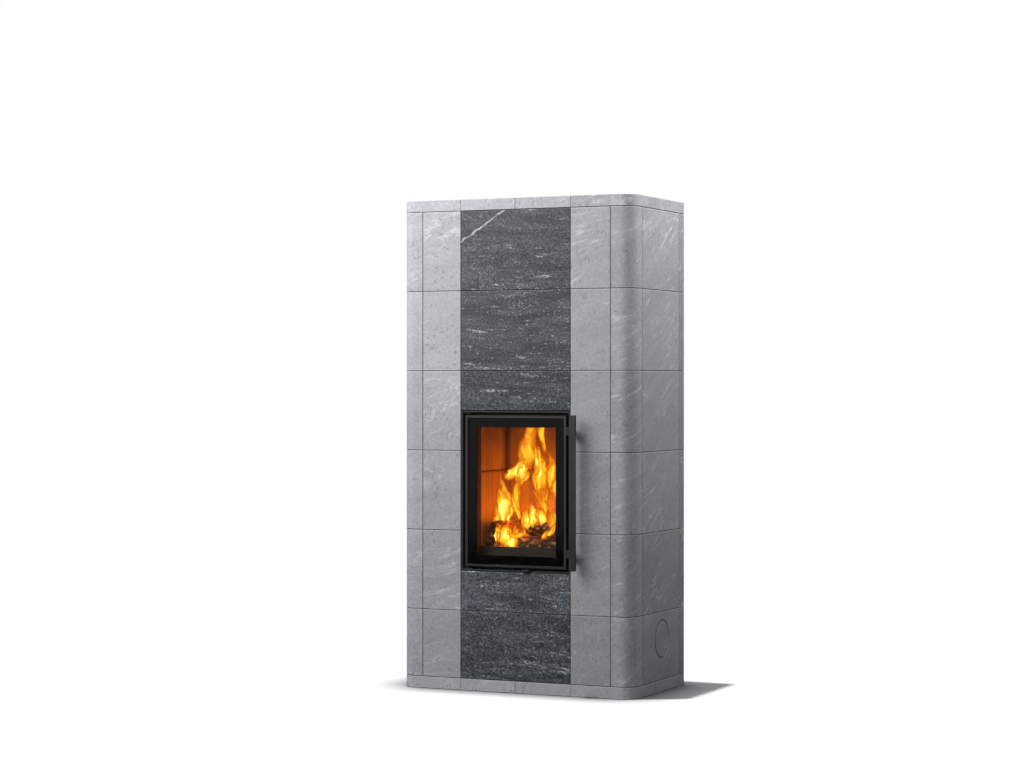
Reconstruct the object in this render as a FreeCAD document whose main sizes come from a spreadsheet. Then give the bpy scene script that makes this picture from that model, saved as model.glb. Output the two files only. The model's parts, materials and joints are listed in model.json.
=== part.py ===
import FreeCAD, Part
import os
import re

import Sketcher

# A free-standing soapstone heater: a coursed stone shell around a firebox core with a glazed door.
# Millimetres. Origin on the floor at the centre of the stone footprint: X right, Y back, Z up.

# Driving dimensions, one spreadsheet cell each.
SIZES = {
    # stone shell
    "shell_width": 887,
    "shell_depth": 476,
    "stone_thick": 50,
    "corner_leg": 84,
    "corner_radius": 50,
    "accent_width": 421,
    "rear_centre_width": 300,
    "base_height": 42,
    "first_course": 238,
    "course_height": 280,
    "top_height": 40,
    "arris": 1.5,
    "stone_gap": 1.6,
    # soot plugs in the two sides
    "plug_diameter": 130,
    "plug_gap": 2,
    "plug_face": 14,
    "neck_diameter": 119.4,
    "plug_play": 0.3,
    "plug_from_front": 264,
    "plug_height": 184,
    # flue collar in the rear
    "flue_radius": 75,
    "flue_wall": 2,
    "flue_play": 1.5,
    "flue_inside": 10,
    "flue_outside": 40,
    "collar_flange": 25,
    "collar_thick": 3,
    "collar_screw_radius": 3,
    "collar_screw_length": 30,
    "collar_screw_head": 4,
    # firebox core
    "firebox_width": 330,
    "firebox_depth": 211,
    "core_wall": 50,
    "hearth_drop": 1.5,
    "hearth_thick": 50,
    "wall_stone": 300,
    "core_lintel_height": 132,
    "slab_thick": 50,
    "gas_slot_width": 280,
    "gas_slot_depth": 70,
    "gas_window": 110,
    "lid_thick": 50,
    "lid_margin": 5,
    "insulation_thick": 40,
    # ash pit, grate and ash box
    "pit_width": 220,
    "pit_depth": 150,
    "pit_height": 80,
    "grate_ledge": 9,
    "grate_thick": 14,
    "grate_play": 1,
    "bar_slot": 9,
    "bar_pitch": 18,
    "grate_rim": 14,
    "box_play": 4,
    "box_wall": 2,
    "box_drop": 12,
    # door surround
    "sill_stone_height": 138,
    "lintel_height": 138.5,
    "surround_wall": 5,
    "surround_set": 3,
    "surround_seal": 2,
    "flange_thick": 6,
    "throat_edge": 30.5,
    "throat_wall": 4,
    "throat_length": 26,
    "core_seal_thick": 3,
    "core_seal_width": 20,
    "surround_screw_radius": 3,
    "surround_screw_reach": 140,
    "surround_screw_depth": 30,
    "surround_screw_head": 3,
    "surround_screw_set": 14,
    # door leaf
    "leaf_gap": 11,
    "leaf_set": 2,
    "leaf_depth": 26,
    "leaf_wall": 4,
    "leaf_lip": 8,
    "lip_thick": 3,
    "glass_tape": 1,
    "glass_thick": 4,
    "glass_play": 0.5,
    "inner_edge": 14,
    "inner_width": 23,
    "inner_depth": 14,
    "rope_edge": 18.5,
    "rope_width": 10,
    "rope_sunk": 6,
    "seal_space": 4,
    "seal_play": 0.3,
    "clip_inset": 71,
    "clip_height": 14,
    "clip_thick": 2,
    "clip_overlap": 4,
    "clip_screw_radius": 2,
    "clip_screw_head": 2,
    "screw_play": 0.1,
    # hinges
    "hinge_inset": 8.5,
    "hinge_set": 16,
    "pin_radius": 3,
    "pin_play": 0.05,
    "pin_engage": 14,
    "collar_radius": 5,
    "boss_width": 9,
    "boss_depth": 10,
    "boss_play": 1,
    "hinge_plate": 4,
    "hinge_plate_length": 34,
    "hinge_plate_depth": 24,
    # latch
    "latch_rise": 95,
    "latch_inset": 10,
    "tongue_thick": 3,
    "tongue_height": 20,
    "tongue_length": 28,
    "bead_radius": 2.6,
    "spring_thick": 1.2,
    "spring_play": 0.3,
    "spring_foot": 6,
    "spring_slot": 5.5,
    "slot_play": 2,
    # handle
    "bar_width": 22,
    "bar_depth": 12,
    "bar_overhang": 2.5,
    "bar_reach": 45,
    "bar_offset": 42.5,
    "grip_depth": 8.5,
    "arm_inset": 53,
    "arm_height": 28,
    "arm_thick": 6,
    "arm_seat": 10,
    "arm_foot": 16,
    "arm_screw_radius": 2.5,
    "arm_screw_head": 2,
    "arm_screw_spread": 16,
    # air lever
    "slot_width": 34,
    "slot_height": 14,
    "slot_pitch": 80,
    "slot_rise": 5,
    "shutter_thick": 1.7,
    "shutter_height": 22,
    "shutter_margin": 8,
    "shutter_play": 0.3,
    "guide_thick": 1.1,
    "guide_height": 4,
    "guide_lap": 3,
    "lever_offset": 42.5,
    "lever_width": 28,
    "lever_neck": 22,
    "lever_thick": 3,
    "lever_reach": 8,
    "tab_height": 7.5,
    "tab_thick": 5,
    "tab_radius": 3,
    # log guard
    "guard_height": 37,
    "guard_thick": 4,
    "guard_foot": 12,
    "guard_play": 2,
}

UPPER_COURSES = 5
DOOR_COURSES = 3
GRATE_SLOTS = 10
HEAD_RATIO = 2
EPSILON = 1e-4

# Places worked out from the driving dimensions.
PLACES = {
    "front": "-shell_depth / 2",
    "rear": "shell_depth / 2",
    "side": "shell_width / 2",
    "accent": "accent_width / 2",
    "half_gap": "stone_gap / 2",
    "corner_inner": "side - corner_leg",
    "corner_back": "front + corner_leg",
    "panel_back": "rear - stone_thick",
    "rear_inner": "rear_centre_width / 2",
    "level_1": "base_height",
    "level_2": "base_height + first_course",
    "level_7": f"level_2 + {UPPER_COURSES} * course_height",
    "stone_top": "level_7 + top_height",
    "plug_y": "front + plug_from_front",
    "flue_z": "base_height + first_course / 2",
    "collar_screw_offset": "(flue_radius + flue_wall + collar_flange / 2) / sqrt(2)",
    # surround and leaf, across and up
    "sill_top": "level_2 + sill_stone_height",
    "lintel_top": f"level_2 + {DOOR_COURSES} * course_height",
    "lintel_under": "lintel_top - lintel_height",
    "sill_z": "sill_top + surround_seal",
    "head_z": "lintel_under - surround_seal",
    "surround_half": "accent - surround_seal",
    "lip_half": "surround_half - surround_wall",
    "lip_low": "sill_z + surround_wall",
    "lip_high": "head_z - surround_wall",
    "leaf_half": "lip_half - leaf_gap",
    "leaf_low": "lip_low + leaf_gap",
    "leaf_high": "lip_high - leaf_gap",
    "leaf_mid": "(leaf_low + leaf_high) / 2",
    # surround and leaf, front to back
    "surround_y": "front + surround_set",
    "leaf_y": "front + leaf_set",
    "leaf_back": "leaf_y + leaf_depth",
    "flange_y": "leaf_back + seal_space",
    "flange_back": "flange_y + flange_thick",
    "throat_back": "flange_back + throat_length",
    "core_front": "throat_back + core_seal_thick",
    "tape_y": "leaf_y + lip_thick",
    "glass_y": "tape_y + glass_tape",
    "inner_y": "glass_y + glass_thick",
    "inner_back": "inner_y + inner_depth",
    "pocket_half": "leaf_half - leaf_wall",
    "hinge_x": "-(leaf_half - hinge_inset)",
    "hinge_y": "front + hinge_set",
    "latch_x": "leaf_half - latch_inset",
    "latch_z": "leaf_mid + latch_rise",
    "bead_y": "leaf_back + tongue_length - bead_radius",
    "arm_screw_y": "leaf_y + lip_thick + arm_foot / 2",
    # firebox core
    "firebox": "firebox_width / 2",
    "core": "firebox + core_wall",
    "firebox_back": "core_front + firebox_depth",
    "core_back": "firebox_back + core_wall",
    "lintel_back": "core_front + core_wall",
    "pit_y": "(core_front + firebox_back) / 2",
    "hearth_height": "throat_low - hearth_drop",
    "hearth_under": "hearth_height - hearth_thick",
    "pit_floor": "hearth_under - pit_height",
    "wall_joint": "hearth_height + wall_stone",
    "slab_under": "throat_high + core_lintel_height",
    "slab_top": "slab_under + slab_thick",
    "lid_under": "level_7 - insulation_thick - lid_thick",
    "throat_low": "leaf_low + throat_edge",
    "throat_high": "leaf_high - throat_edge",
    "throat_half": "leaf_half - throat_edge",
    # air lever and handle
    "slot_low": "lip_low + slot_rise",
    "shutter_y": "flange_y - shutter_play - shutter_thick",
    "shutter_low": "lip_low + shutter_play",
    "shutter_half": "slot_pitch + slot_width / 2 + shutter_margin",
    "bar_x": "leaf_half + bar_offset",
    "bar_y": "front - bar_reach",
    "bar_back": "bar_y + bar_depth",
}

WORD = re.compile(r"[a-z][a-z_0-9]*")
FUNCTIONS = ("sqrt",)


def bind(text):
    """Spell a text of sizes and places out in spreadsheet cells."""
    def spell(match):
        word = match.group()
        if word in PLACES:
            return "(" + bind(PLACES[word]) + ")"
        if word in SIZES:
            return "Sizes." + word
        if word in FUNCTIONS:
            return word
        raise NameError(word)
    return WORD.sub(spell, str(text))


def course_bounds(number):
    """Bottom and top of a shell course, counted from 1 at the base."""
    if number == 1:
        return "level_1", "level_2"
    return f"level_2 + {number - 2} * course_height", f"level_2 + {number - 1} * course_height"


doc = FreeCAD.newDocument("soapstone_heater")
sheet = doc.addObject("Spreadsheet::Sheet", "Sizes")
for row, (alias, value) in enumerate(SIZES.items(), start=1):
    sheet.set(f"A{row}", alias)
    sheet.set(f"B{row}", str(value))
    sheet.setAlias(f"B{row}", alias)
doc.recompute()

nodes = []
AXIS_TURNS = {
    "x": FreeCAD.Rotation(FreeCAD.Vector(0, 1, 0), 90),
    "y": FreeCAD.Rotation(FreeCAD.Vector(1, 0, 0), -90),
    "z": FreeCAD.Rotation(),
}


# Building blocks

def new_body(label):
    body = doc.addObject("PartDesign::Body", label)
    body.Label = label
    return body


def keep(thing, label=None):
    """Mark an object as a node of the part."""
    thing.Label = label or thing.Label
    nodes.append(thing)
    return thing


def box(body, x, y, z, cut=False):
    """Add or cut a box between pairs of limits."""
    kind = "SubtractiveBox" if cut else "AdditiveBox"
    feature = body.newObject("PartDesign::" + kind, body.Label + "_box")
    for side, (low, high) in zip(("Length", "Width", "Height"), (x, y, z)):
        feature.setExpression(side, bind(f"({high}) - ({low})"))
    for axis, (low, high) in zip("xyz", (x, y, z)):
        feature.setExpression("Placement.Base." + axis, bind(low))
    return feature


def rod(body, axis, radius, ends, at, cut=False):
    """Add or cut a cylinder along an axis; `at` gives its centre on the other two axes in order."""
    kind = "SubtractiveCylinder" if cut else "AdditiveCylinder"
    feature = body.newObject("PartDesign::" + kind, body.Label + "_rod")
    feature.Placement = FreeCAD.Placement(FreeCAD.Vector(), AXIS_TURNS[axis])
    feature.setExpression("Radius", bind(radius))
    feature.setExpression("Height", bind(f"({ends[1]}) - ({ends[0]})"))
    others = [name for name in "xyz" if name != axis]
    feature.setExpression("Placement.Base." + axis, bind(ends[0]))
    for name, place in zip(others, at):
        feature.setExpression("Placement.Base." + name, bind(place))
    return feature


def block(label, x, y, z):
    body = new_body(label)
    box(body, x, y, z)
    return body


def frame(body, half, low, high, width, y):
    """A rectangular ring seen from the front: outer half width, bottom, top, ring width, depth limits."""
    box(body, (f"-({half})", half), y, (low, high))
    inner = f"({half}) - ({width})"
    box(body, (f"-({inner})", inner), y, (f"({low}) + ({width})", f"({high}) - ({width})"), cut=True)


def prism(body, points, z):
    """Pad an outline, drawn in plan, between two heights."""
    sketch = body.newObject("Sketcher::SketchObject", body.Label + "_outline")
    plane = [item for item in body.Origin.OriginFeatures if item.Role == "XY_Plane"][0]
    sketch.AttachmentSupport = [(plane, "")]
    sketch.MapMode = "FlatFace"
    sketch.setExpression("AttachmentOffset.Base.z", bind(z[0]))
    count = len(points)
    ring = [FreeCAD.Vector(index, index * index, 0) for index in range(count)]
    for index in range(count):
        sketch.addGeometry(Part.LineSegment(ring[index], ring[(index + 1) % count]))
    for index in range(count):
        sketch.addConstraint(Sketcher.Constraint("Coincident", index, 2, (index + 1) % count, 1))
    for index, place in enumerate(points):
        for kind, text, start in zip(("DistanceX", "DistanceY"), place, ring[index]):
            row = sketch.addConstraint(Sketcher.Constraint(kind, -1, 1, index, 1, start))
            sketch.setExpression(f"Constraints[{row}]", bind(text))
    pad = body.newObject("PartDesign::Pad", body.Label + "_pad")
    pad.Profile = sketch
    pad.setExpression("Length", bind(f"({z[1]}) - ({z[0]})"))
    return pad


def mirrored(label, source):
    """The left-hand twin of a right-hand piece."""
    twin = doc.addObject("Part::Mirroring", label)
    twin.Label = label
    twin.Source = source
    twin.Normal = FreeCAD.Vector(1, 0, 0)
    return twin


def group(label, members):
    """Separate solids that share one node."""
    gathered = doc.addObject("Part::Compound", label)
    gathered.Label = label
    gathered.Links = members
    return keep(gathered)


# Worked edges of the stones

SIDES = {"front": "YMin", "back": "YMax", "right": "XMax", "top": "ZMax"}


def on_side(bounds, whole, side):
    """Whether a face or edge, given by its bounds, lies on the named side of its stone."""
    axis = SIDES[side][0]
    limit = getattr(whole, SIDES[side])
    ends = (getattr(bounds, axis + "Min"), getattr(bounds, axis + "Max"))
    return all(abs(end - limit) < EPSILON for end in ends)


def round_corner(body):
    """Round the front outer upright edge of a right-hand stone."""
    base = body.Tip
    whole = base.Shape.BoundBox
    names = [f"Edge{index}" for index, edge in enumerate(base.Shape.Edges, start=1)
             if on_side(edge.BoundBox, whole, "front") and on_side(edge.BoundBox, whole, "right")]
    feature = body.newObject("PartDesign::Fillet", body.Label + "_round")
    feature.Base = (base, names)
    feature.setExpression("Radius", bind("corner_radius"))


def ease(body, sides):
    """Chamfer every edge of the stone's faces that show."""
    base = body.Tip
    whole = base.Shape.BoundBox
    names = []
    for index, edge in enumerate(base.Shape.Edges, start=1):
        faces = base.Shape.ancestorsOfType(edge, Part.Face)
        rounded = any(isinstance(face.Surface, Part.Cylinder) for face in faces)
        if rounded and isinstance(edge.Curve, Part.Line):
            continue
        shows = any(on_side(face.BoundBox, whole, side) for face in faces for side in sides)
        arc = rounded and "round" in base.Label
        if shows or arc:
            names.append(f"Edge{index}")
    feature = body.newObject("PartDesign::Chamfer", body.Label + "_arris")
    feature.Base = (base, names)
    feature.setExpression("Size", bind("arris"))


stones_to_round = []
stones_to_ease = []


def stone(label, x, y, z, sides, rounded=False):
    """A shell stone; the sides named are those that show."""
    body = block(label, x, y, z)
    if rounded:
        stones_to_round.append(body)
    stones_to_ease.append((body, sides))
    return body


# Stone shell

def shell_columns():
    """Upright columns of stones, right-hand ones drawn and left-hand ones mirrored."""
    outer = "side"
    columns = {
        "corner_stones": (("corner_inner + half_gap", outer), ("front", "corner_back - half_gap"),
                          ("front", "right"), True),
        "front_stones": (("accent", "corner_inner - half_gap"), ("front", "front + stone_thick"),
                         ("front",), False),
        "side_stones": (("side - stone_thick", outer), ("corner_back + half_gap", "panel_back - half_gap"),
                        ("right",), False),
        "rear_stones": (("rear_inner + half_gap", outer), ("panel_back + half_gap", "rear"),
                        ("back", "right"), False),
    }
    for name, (x, y, sides, rounded) in columns.items():
        first = 2 if name == "side_stones" else 1
        right = []
        for course in range(first, UPPER_COURSES + 2):
            label = f"right_{name[:-1]}_{course}"
            right.append(stone(label, x, y, course_bounds(course), sides, rounded))
        stack = group("right_" + name, right)
        keep(mirrored("left_" + name, stack))


def hatch_stones():
    """The lowest side stones, each with the stepped hole for its soot plug."""
    body = stone("right_hatch_stone", ("side - stone_thick", "side"),
                 ("corner_back + half_gap", "panel_back - half_gap"), course_bounds(1), ("right",))
    hole = "plug_diameter / 2 + plug_gap"
    neck = "neck_diameter / 2 + plug_play"
    rod(body, "x", neck, ("side - stone_thick", "side"), ("plug_y", "plug_height"), cut=True)
    rod(body, "x", hole, ("side - plug_face", "side"), ("plug_y", "plug_height"), cut=True)
    keep(body)
    keep(mirrored("left_hatch_stone", body))


def soot_plugs():
    """Stepped round plugs, flush with the sides."""
    body = new_body("right_soot_plug")
    seat = "side - plug_face + plug_play"
    rod(body, "x", "neck_diameter / 2", ("side - stone_thick", "side"), ("plug_y", "plug_height"))
    rod(body, "x", "plug_diameter / 2", (seat, "side"), ("plug_y", "plug_height"))
    stones_to_ease.append((body, ("right",)))
    keep(body)
    keep(mirrored("left_soot_plug", body))


def accent_stones():
    """The dark middle strip, with the door between the sill and lintel stones."""
    x = ("-(accent - stone_gap)", "accent - stone_gap")
    y = ("front", "front + stone_thick")
    bounds = {
        "accent_stone_low": course_bounds(1),
        "sill_stone": ("level_2", "sill_top"),
        "lintel_stone": ("lintel_under", "lintel_top"),
        "accent_stone_middle": course_bounds(5),
        "accent_stone_high": course_bounds(6),
    }
    for name, z in bounds.items():
        body = stone(name, x, y, z, ("front",))
        hole = "surround_screw_radius + screw_play"
        for place in surround_screw_places():
            if name == "sill_stone":
                rod(body, "z", hole, (f"{z[1]} - surround_screw_depth", z[1]), place, cut=True)
            if name == "lintel_stone":
                rod(body, "z", hole, (z[0], f"{z[0]} + surround_screw_depth"), place, cut=True)
        keep(body)


def slabs():
    """Base and top layers, four slabs each; the outer ones follow the rounded corners."""
    layers = {"base_slabs": ("0", "level_1", ("front", "back", "right")),
              "top_slabs": ("level_7", "stone_top", ("front", "back", "right", "top"))}
    for name, (low, high, sides) in layers.items():
        y = ("front", "rear")
        outer = stone("right_" + name + "_outer", ("accent", "side"), y, (low, high), sides, rounded=True)
        inner_sides = tuple(side for side in sides if side != "right")
        inner = stone("right_" + name + "_inner", ("0", "accent"), y, (low, high), inner_sides)
        members = [outer, inner]
        members += [mirrored("left_" + body.Label[6:], body) for body in (outer, inner)]
        group(name, members)


def rear_centre():
    """Middle column of the rear, with the flue hole in its lowest stone."""
    x = ("-(rear_inner - half_gap)", "rear_inner - half_gap")
    y = ("panel_back + half_gap", "rear")
    upper = [stone(f"rear_centre_stone_{course}", x, y, course_bounds(course), ("back",))
             for course in range(2, UPPER_COURSES + 2)]
    group("rear_centre_stones", upper)
    body = stone("flue_stone", x, y, course_bounds(1), ("back",))
    rod(body, "y", "flue_radius + flue_wall + flue_play", y, ("0", "flue_z"), cut=True)
    for place in collar_screw_places():
        rod(body, "y", "collar_screw_radius + screw_play", ("rear - collar_screw_length", "rear"), place,
            cut=True)
    keep(body)


def collar_screw_places():
    """The four screws of the flue collar, across and up."""
    return [(f"{x_sign}collar_screw_offset", f"flue_z {z_sign} collar_screw_offset")
            for x_sign in ("", "-") for z_sign in ("+", "-")]


def flue_collar():
    """Steel collar through the flue stone, with its flange and screws on the rear face."""
    body = new_body("flue_collar")
    tube = "flue_radius + flue_wall"
    outer_end = "rear + flue_outside"
    rod(body, "y", tube, ("panel_back - flue_inside", outer_end), ("0", "flue_z"))
    rod(body, "y", f"{tube} + collar_flange", ("rear", "rear + collar_thick"), ("0", "flue_z"))
    rod(body, "y", "flue_radius", ("panel_back - flue_inside", outer_end), ("0", "flue_z"), cut=True)
    seat = "rear + collar_thick"
    screws = []
    for place in collar_screw_places():
        rod(body, "y", "collar_screw_radius + screw_play", ("rear", seat), place, cut=True)
        screw = new_body(f"collar_screw_{len(screws) + 1}")
        rod(screw, "y", "collar_screw_radius", ("rear - collar_screw_length", seat), place)
        rod(screw, "y", f"collar_screw_radius * {HEAD_RATIO}", (seat, f"{seat} + collar_screw_head"), place)
        screws.append(screw)
    keep(body)
    group("collar_screws", screws)


# Firebox core

def core_base():
    """Stacked blocks that carry the core, and the ring of stones around the ash pit."""
    x = ("-core", "core")
    y = ("core_front", "core_back")
    middle = "(level_1 + pit_floor) / 2"
    group("core_base_blocks", [block("core_base_block_1", x, y, ("level_1", middle)),
                               block("core_base_block_2", x, y, (middle, "pit_floor"))])
    z = ("pit_floor", "hearth_under")
    near, far = "pit_y - pit_depth / 2", "pit_y + pit_depth / 2"
    right = block("ash_pit_stone_right", ("pit_width / 2", "core"), (near, far), z)
    group("ash_pit_stones", [block("ash_pit_stone_front", x, ("core_front", near), z),
                             block("ash_pit_stone_rear", x, (far, "core_back"), z),
                             right, mirrored("ash_pit_stone_left", right)])


def hearth():
    """Hearth stone with the grate opening, its ledge and the primary air channel."""
    body = block("hearth_stone", ("-core", "core"), ("core_front", "core_back"),
                 ("hearth_under", "hearth_height"))
    near, far = "pit_y - pit_depth / 2", "pit_y + pit_depth / 2"
    box(body, ("-pit_width / 2", "pit_width / 2"), (near, far), ("hearth_under", "hearth_height"), cut=True)
    box(body, ("-(pit_width / 2 + grate_ledge)", "pit_width / 2 + grate_ledge"),
        (f"{near} - grate_ledge", f"{far} + grate_ledge"),
        ("hearth_height - grate_thick", "hearth_height"), cut=True)
    wide = "slot_pitch + slot_width / 2"
    box(body, (f"-({wide})", wide), ("core_front", near), ("slot_low", "slot_low + slot_height"), cut=True)
    keep(body)


def grate():
    """Cast grate with cross slots, dropped into the hearth ledge."""
    body = new_body("grate")
    half_x = "pit_width / 2 + grate_ledge - grate_play"
    half_y = "pit_depth / 2 + grate_ledge - grate_play"
    z = ("hearth_height - grate_thick", "hearth_height")
    box(body, (f"-({half_x})", half_x), (f"pit_y - ({half_y})", f"pit_y + {half_y}"), z)
    first = f"-bar_pitch * {(GRATE_SLOTS - 1) / 2}"
    slot = box(body, (f"{first} - bar_slot / 2", f"{first} + bar_slot / 2"),
               (f"pit_y - ({half_y} - grate_rim)", f"pit_y + {half_y} - grate_rim"), z, cut=True)
    pattern = body.newObject("PartDesign::LinearPattern", "grate_slots")
    pattern.Originals = [slot]
    along = [item for item in body.Origin.OriginFeatures if item.Role == "X_Axis"][0]
    pattern.Direction = (along, [""])
    pattern.Occurrences = GRATE_SLOTS
    pattern.setExpression("Length", bind(f"bar_pitch * {GRATE_SLOTS - 1}"))
    body.Tip = pattern
    keep(body)


def ash_box():
    """Open sheet-steel box standing on the pit floor."""
    half_x = "pit_width / 2 - box_play"
    half_y = "pit_depth / 2 - box_play"
    top = "hearth_height - grate_thick - box_drop"
    body = block("ash_box", (f"-({half_x})", half_x), (f"pit_y - ({half_y})", f"pit_y + {half_y}"),
                 ("pit_floor", top))
    box(body, (f"-({half_x} - box_wall)", f"{half_x} - box_wall"),
        (f"pit_y - ({half_y} - box_wall)", f"pit_y + {half_y} - box_wall"), ("pit_floor + box_wall", top),
        cut=True)
    keep(body)


def firebox_walls():
    """Two courses of wall stones on three sides, with the lintel let into the upper side stones."""
    y = ("core_front", "core_back")
    courses = {"lower": ("hearth_height", "wall_joint"), "upper": ("wall_joint", "slab_under")}
    right = []
    rear = []
    for name, z in courses.items():
        wall = block(f"right_wall_stone_{name}", ("firebox", "core"), y, z)
        if name == "upper":
            box(wall, ("firebox", "core"), ("core_front", "lintel_back"), ("throat_high", "slab_under"),
                cut=True)
        right.append(wall)
        rear.append(block(f"rear_wall_stone_{name}", ("-firebox", "firebox"),
                          ("firebox_back", "core_back"), z))
    stack = group("right_firebox_wall", right)
    keep(mirrored("left_firebox_wall", stack))
    group("rear_firebox_wall", rear)
    keep(block("firebox_lintel", ("-core", "core"), ("core_front", "lintel_back"),
               ("throat_high", "slab_under")))


def upper_core():
    """Slab with the gas slot, the upper chamber walls, the inner lid and its insulation."""
    slab = block("throat_slab", ("-core", "core"), ("core_front", "core_back"), ("slab_under", "slab_top"))
    box(slab, ("-gas_slot_width / 2", "gas_slot_width / 2"),
        ("pit_y - gas_slot_depth / 2", "pit_y + gas_slot_depth / 2"), ("slab_under", "slab_top"), cut=True)
    keep(slab)
    z = ("slab_top", "lid_under")
    right = block("upper_wall_right", ("firebox", "core"), ("lintel_back", "firebox_back"),
                  ("slab_top", "lid_under - gas_window"))
    group("upper_core_walls", [block("upper_wall_front", ("-core", "core"), ("core_front", "lintel_back"), z),
                               block("upper_wall_rear", ("-core", "core"), ("firebox_back", "core_back"), z),
                               right, mirrored("upper_wall_left", right)])
    reach = "corner_inner - lid_margin"
    y = ("front + stone_thick + lid_margin", "panel_back - lid_margin")
    lid_top = "lid_under + lid_thick"
    half = block("inner_lid_right", ("0", reach), y, ("lid_under", lid_top))
    group("inner_lid", [half, mirrored("inner_lid_left", half)])
    keep(block("insulation_board", (f"-({reach})", reach), y, (lid_top, "level_7")))


# Door surround and what is fixed to it

def surround_screw_places():
    """The surround's fixing screws, across and back."""
    return [(x, "front + surround_screw_set") for x in ("-surround_screw_reach", "surround_screw_reach")]


def door_surround():
    """Welded steel surround: lip, sealing flange with air slots, and throat into the firebox."""
    body = new_body("door_surround")
    box(body, ("-surround_half", "surround_half"), ("surround_y", "flange_back"), ("sill_z", "head_z"))
    box(body, ("-lip_half", "lip_half"), ("surround_y", "flange_y"), ("lip_low", "lip_high"), cut=True)
    box(body, ("-(throat_half + throat_wall)", "throat_half + throat_wall"), ("flange_y", "throat_back"),
        ("throat_low - throat_wall", "throat_high + throat_wall"))
    box(body, ("-throat_half", "throat_half"), ("flange_y", "throat_back"), ("throat_low", "throat_high"),
        cut=True)
    for step in (-1, 0, 1):
        middle = f"{step} * slot_pitch"
        box(body, (f"{middle} - slot_width / 2", f"{middle} + slot_width / 2"), ("flange_y", "flange_back"),
            ("slot_low", "slot_low + slot_height"), cut=True)
    box(body, ("latch_x - spring_slot", "latch_x + spring_slot"), ("flange_y", "flange_back"),
        ("latch_z - tongue_height / 2 - slot_play", "latch_z + tongue_height / 2 + slot_play"), cut=True)
    hole = "surround_screw_radius + screw_play"
    for place in surround_screw_places():
        rod(body, "z", hole, ("sill_z", "lip_low"), place, cut=True)
        rod(body, "z", hole, ("lip_high", "head_z"), place, cut=True)
    keep(body)


def surround_seals():
    """Ceramic tape around the surround, and the ring between its throat and the core."""
    body = new_body("surround_seal_ring")
    frame(body, "accent", "sill_z - surround_seal", "head_z + surround_seal", "surround_seal",
          ("surround_y + surround_seal", "flange_back"))
    hole = "surround_screw_radius + screw_play"
    for place in surround_screw_places():
        rod(body, "z", hole, ("sill_z - surround_seal", "head_z + surround_seal"), place, cut=True)
    keep(body)
    ring = new_body("throat_seal")
    frame(ring, "throat_half + core_seal_width", "throat_low - core_seal_width",
          "throat_high + core_seal_width", "core_seal_width", ("throat_back", "core_front"))
    keep(ring)


def surround_screws():
    """Screws from the channel into the sill and lintel stones."""
    screws = []
    reach = "surround_seal + surround_screw_depth"
    head = f"surround_screw_radius * {HEAD_RATIO}"
    for place in surround_screw_places():
        low = new_body(f"surround_screw_{len(screws) + 1}")
        rod(low, "z", "surround_screw_radius", (f"sill_z - ({reach})", "lip_low"), place)
        rod(low, "z", head, ("lip_low", "lip_low + surround_screw_head"), place)
        high = new_body(f"surround_screw_{len(screws) + 2}")
        rod(high, "z", "surround_screw_radius", ("lip_high", f"head_z + {reach}"), place)
        rod(high, "z", head, ("lip_high - surround_screw_head", "lip_high"), place)
        screws += [low, high]
    group("surround_screws", screws)


def hinges():
    """Hinge plates in the surround's left corners, and the pins that the leaf turns on."""
    x = ("-lip_half", "-lip_half + hinge_plate_length")
    y = ("flange_y - hinge_plate_depth", "flange_y")
    hole = "pin_radius + pin_play"
    place = ("hinge_x", "hinge_y")
    low = block("hinge_plate_low", x, y, ("lip_low", "lip_low + hinge_plate"))
    rod(low, "z", hole, ("lip_low", "lip_low + hinge_plate"), place, cut=True)
    high = block("hinge_plate_high", x, y, ("lip_high - hinge_plate", "lip_high"))
    rod(high, "z", hole, ("lip_high - hinge_plate", "lip_high"), place, cut=True)
    group("hinge_plates", [low, high])
    low_pin = new_body("hinge_pin_low")
    rod(low_pin, "z", "pin_radius", ("lip_low", "leaf_low + pin_engage"), place)
    rod(low_pin, "z", "collar_radius", ("lip_low + hinge_plate", "leaf_low - seal_play"), place)
    high_pin = new_body("hinge_pin_high")
    rod(high_pin, "z", "pin_radius", ("leaf_high - pin_engage", "lip_high"), place)
    group("hinge_pins", [low_pin, high_pin])


def latch_spring():
    """Bent spring-steel catch behind the sealing flange; its pinched arms hold the tongue's bead."""
    wide = "bead_radius + spring_play"
    pinch = "tongue_thick / 2 + spring_play"
    foot = f"{wide} + spring_foot"
    near = "flange_back + spring_thick"
    pinch_y = "bead_y - bead_radius - spring_play"
    end_y = "bead_y + bead_radius + spring_play"
    tip_y = f"{end_y} + spring_thick"
    inner = [(wide, "flange_back"), (pinch, pinch_y), (wide, "bead_y"), (wide, end_y)]
    outer = [(foot, "flange_back"), (foot, near), (f"{wide} + spring_thick", near),
             (f"{pinch} + spring_thick", pinch_y), (f"{wide} + spring_thick", "bead_y"),
             (f"{wide} + spring_thick", tip_y)]
    right = [(f"latch_x + {x}", y) for x, y in outer]
    left = [(f"latch_x - ({x})", y) for x, y in reversed(outer)]
    inner_left = [(f"latch_x - ({x})", y) for x, y in inner]
    inner_right = [(f"latch_x + {x}", y) for x, y in reversed(inner)]
    body = new_body("latch_spring")
    prism(body, right + left + inner_left + inner_right,
          ("latch_z - tongue_height / 2", "latch_z + tongue_height / 2"))
    keep(body)


def log_guard():
    """Low steel plate standing in the throat behind the glass."""
    body = new_body("log_guard")
    x = ("-(throat_half - guard_play)", "throat_half - guard_play")
    back = "throat_back - guard_foot"
    box(body, x, (f"{back} - guard_thick", back), ("throat_low", "throat_low + guard_height"))
    box(body, x, (back, "throat_back"), ("throat_low", "throat_low + guard_thick"))
    keep(body)


# Door leaf

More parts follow.
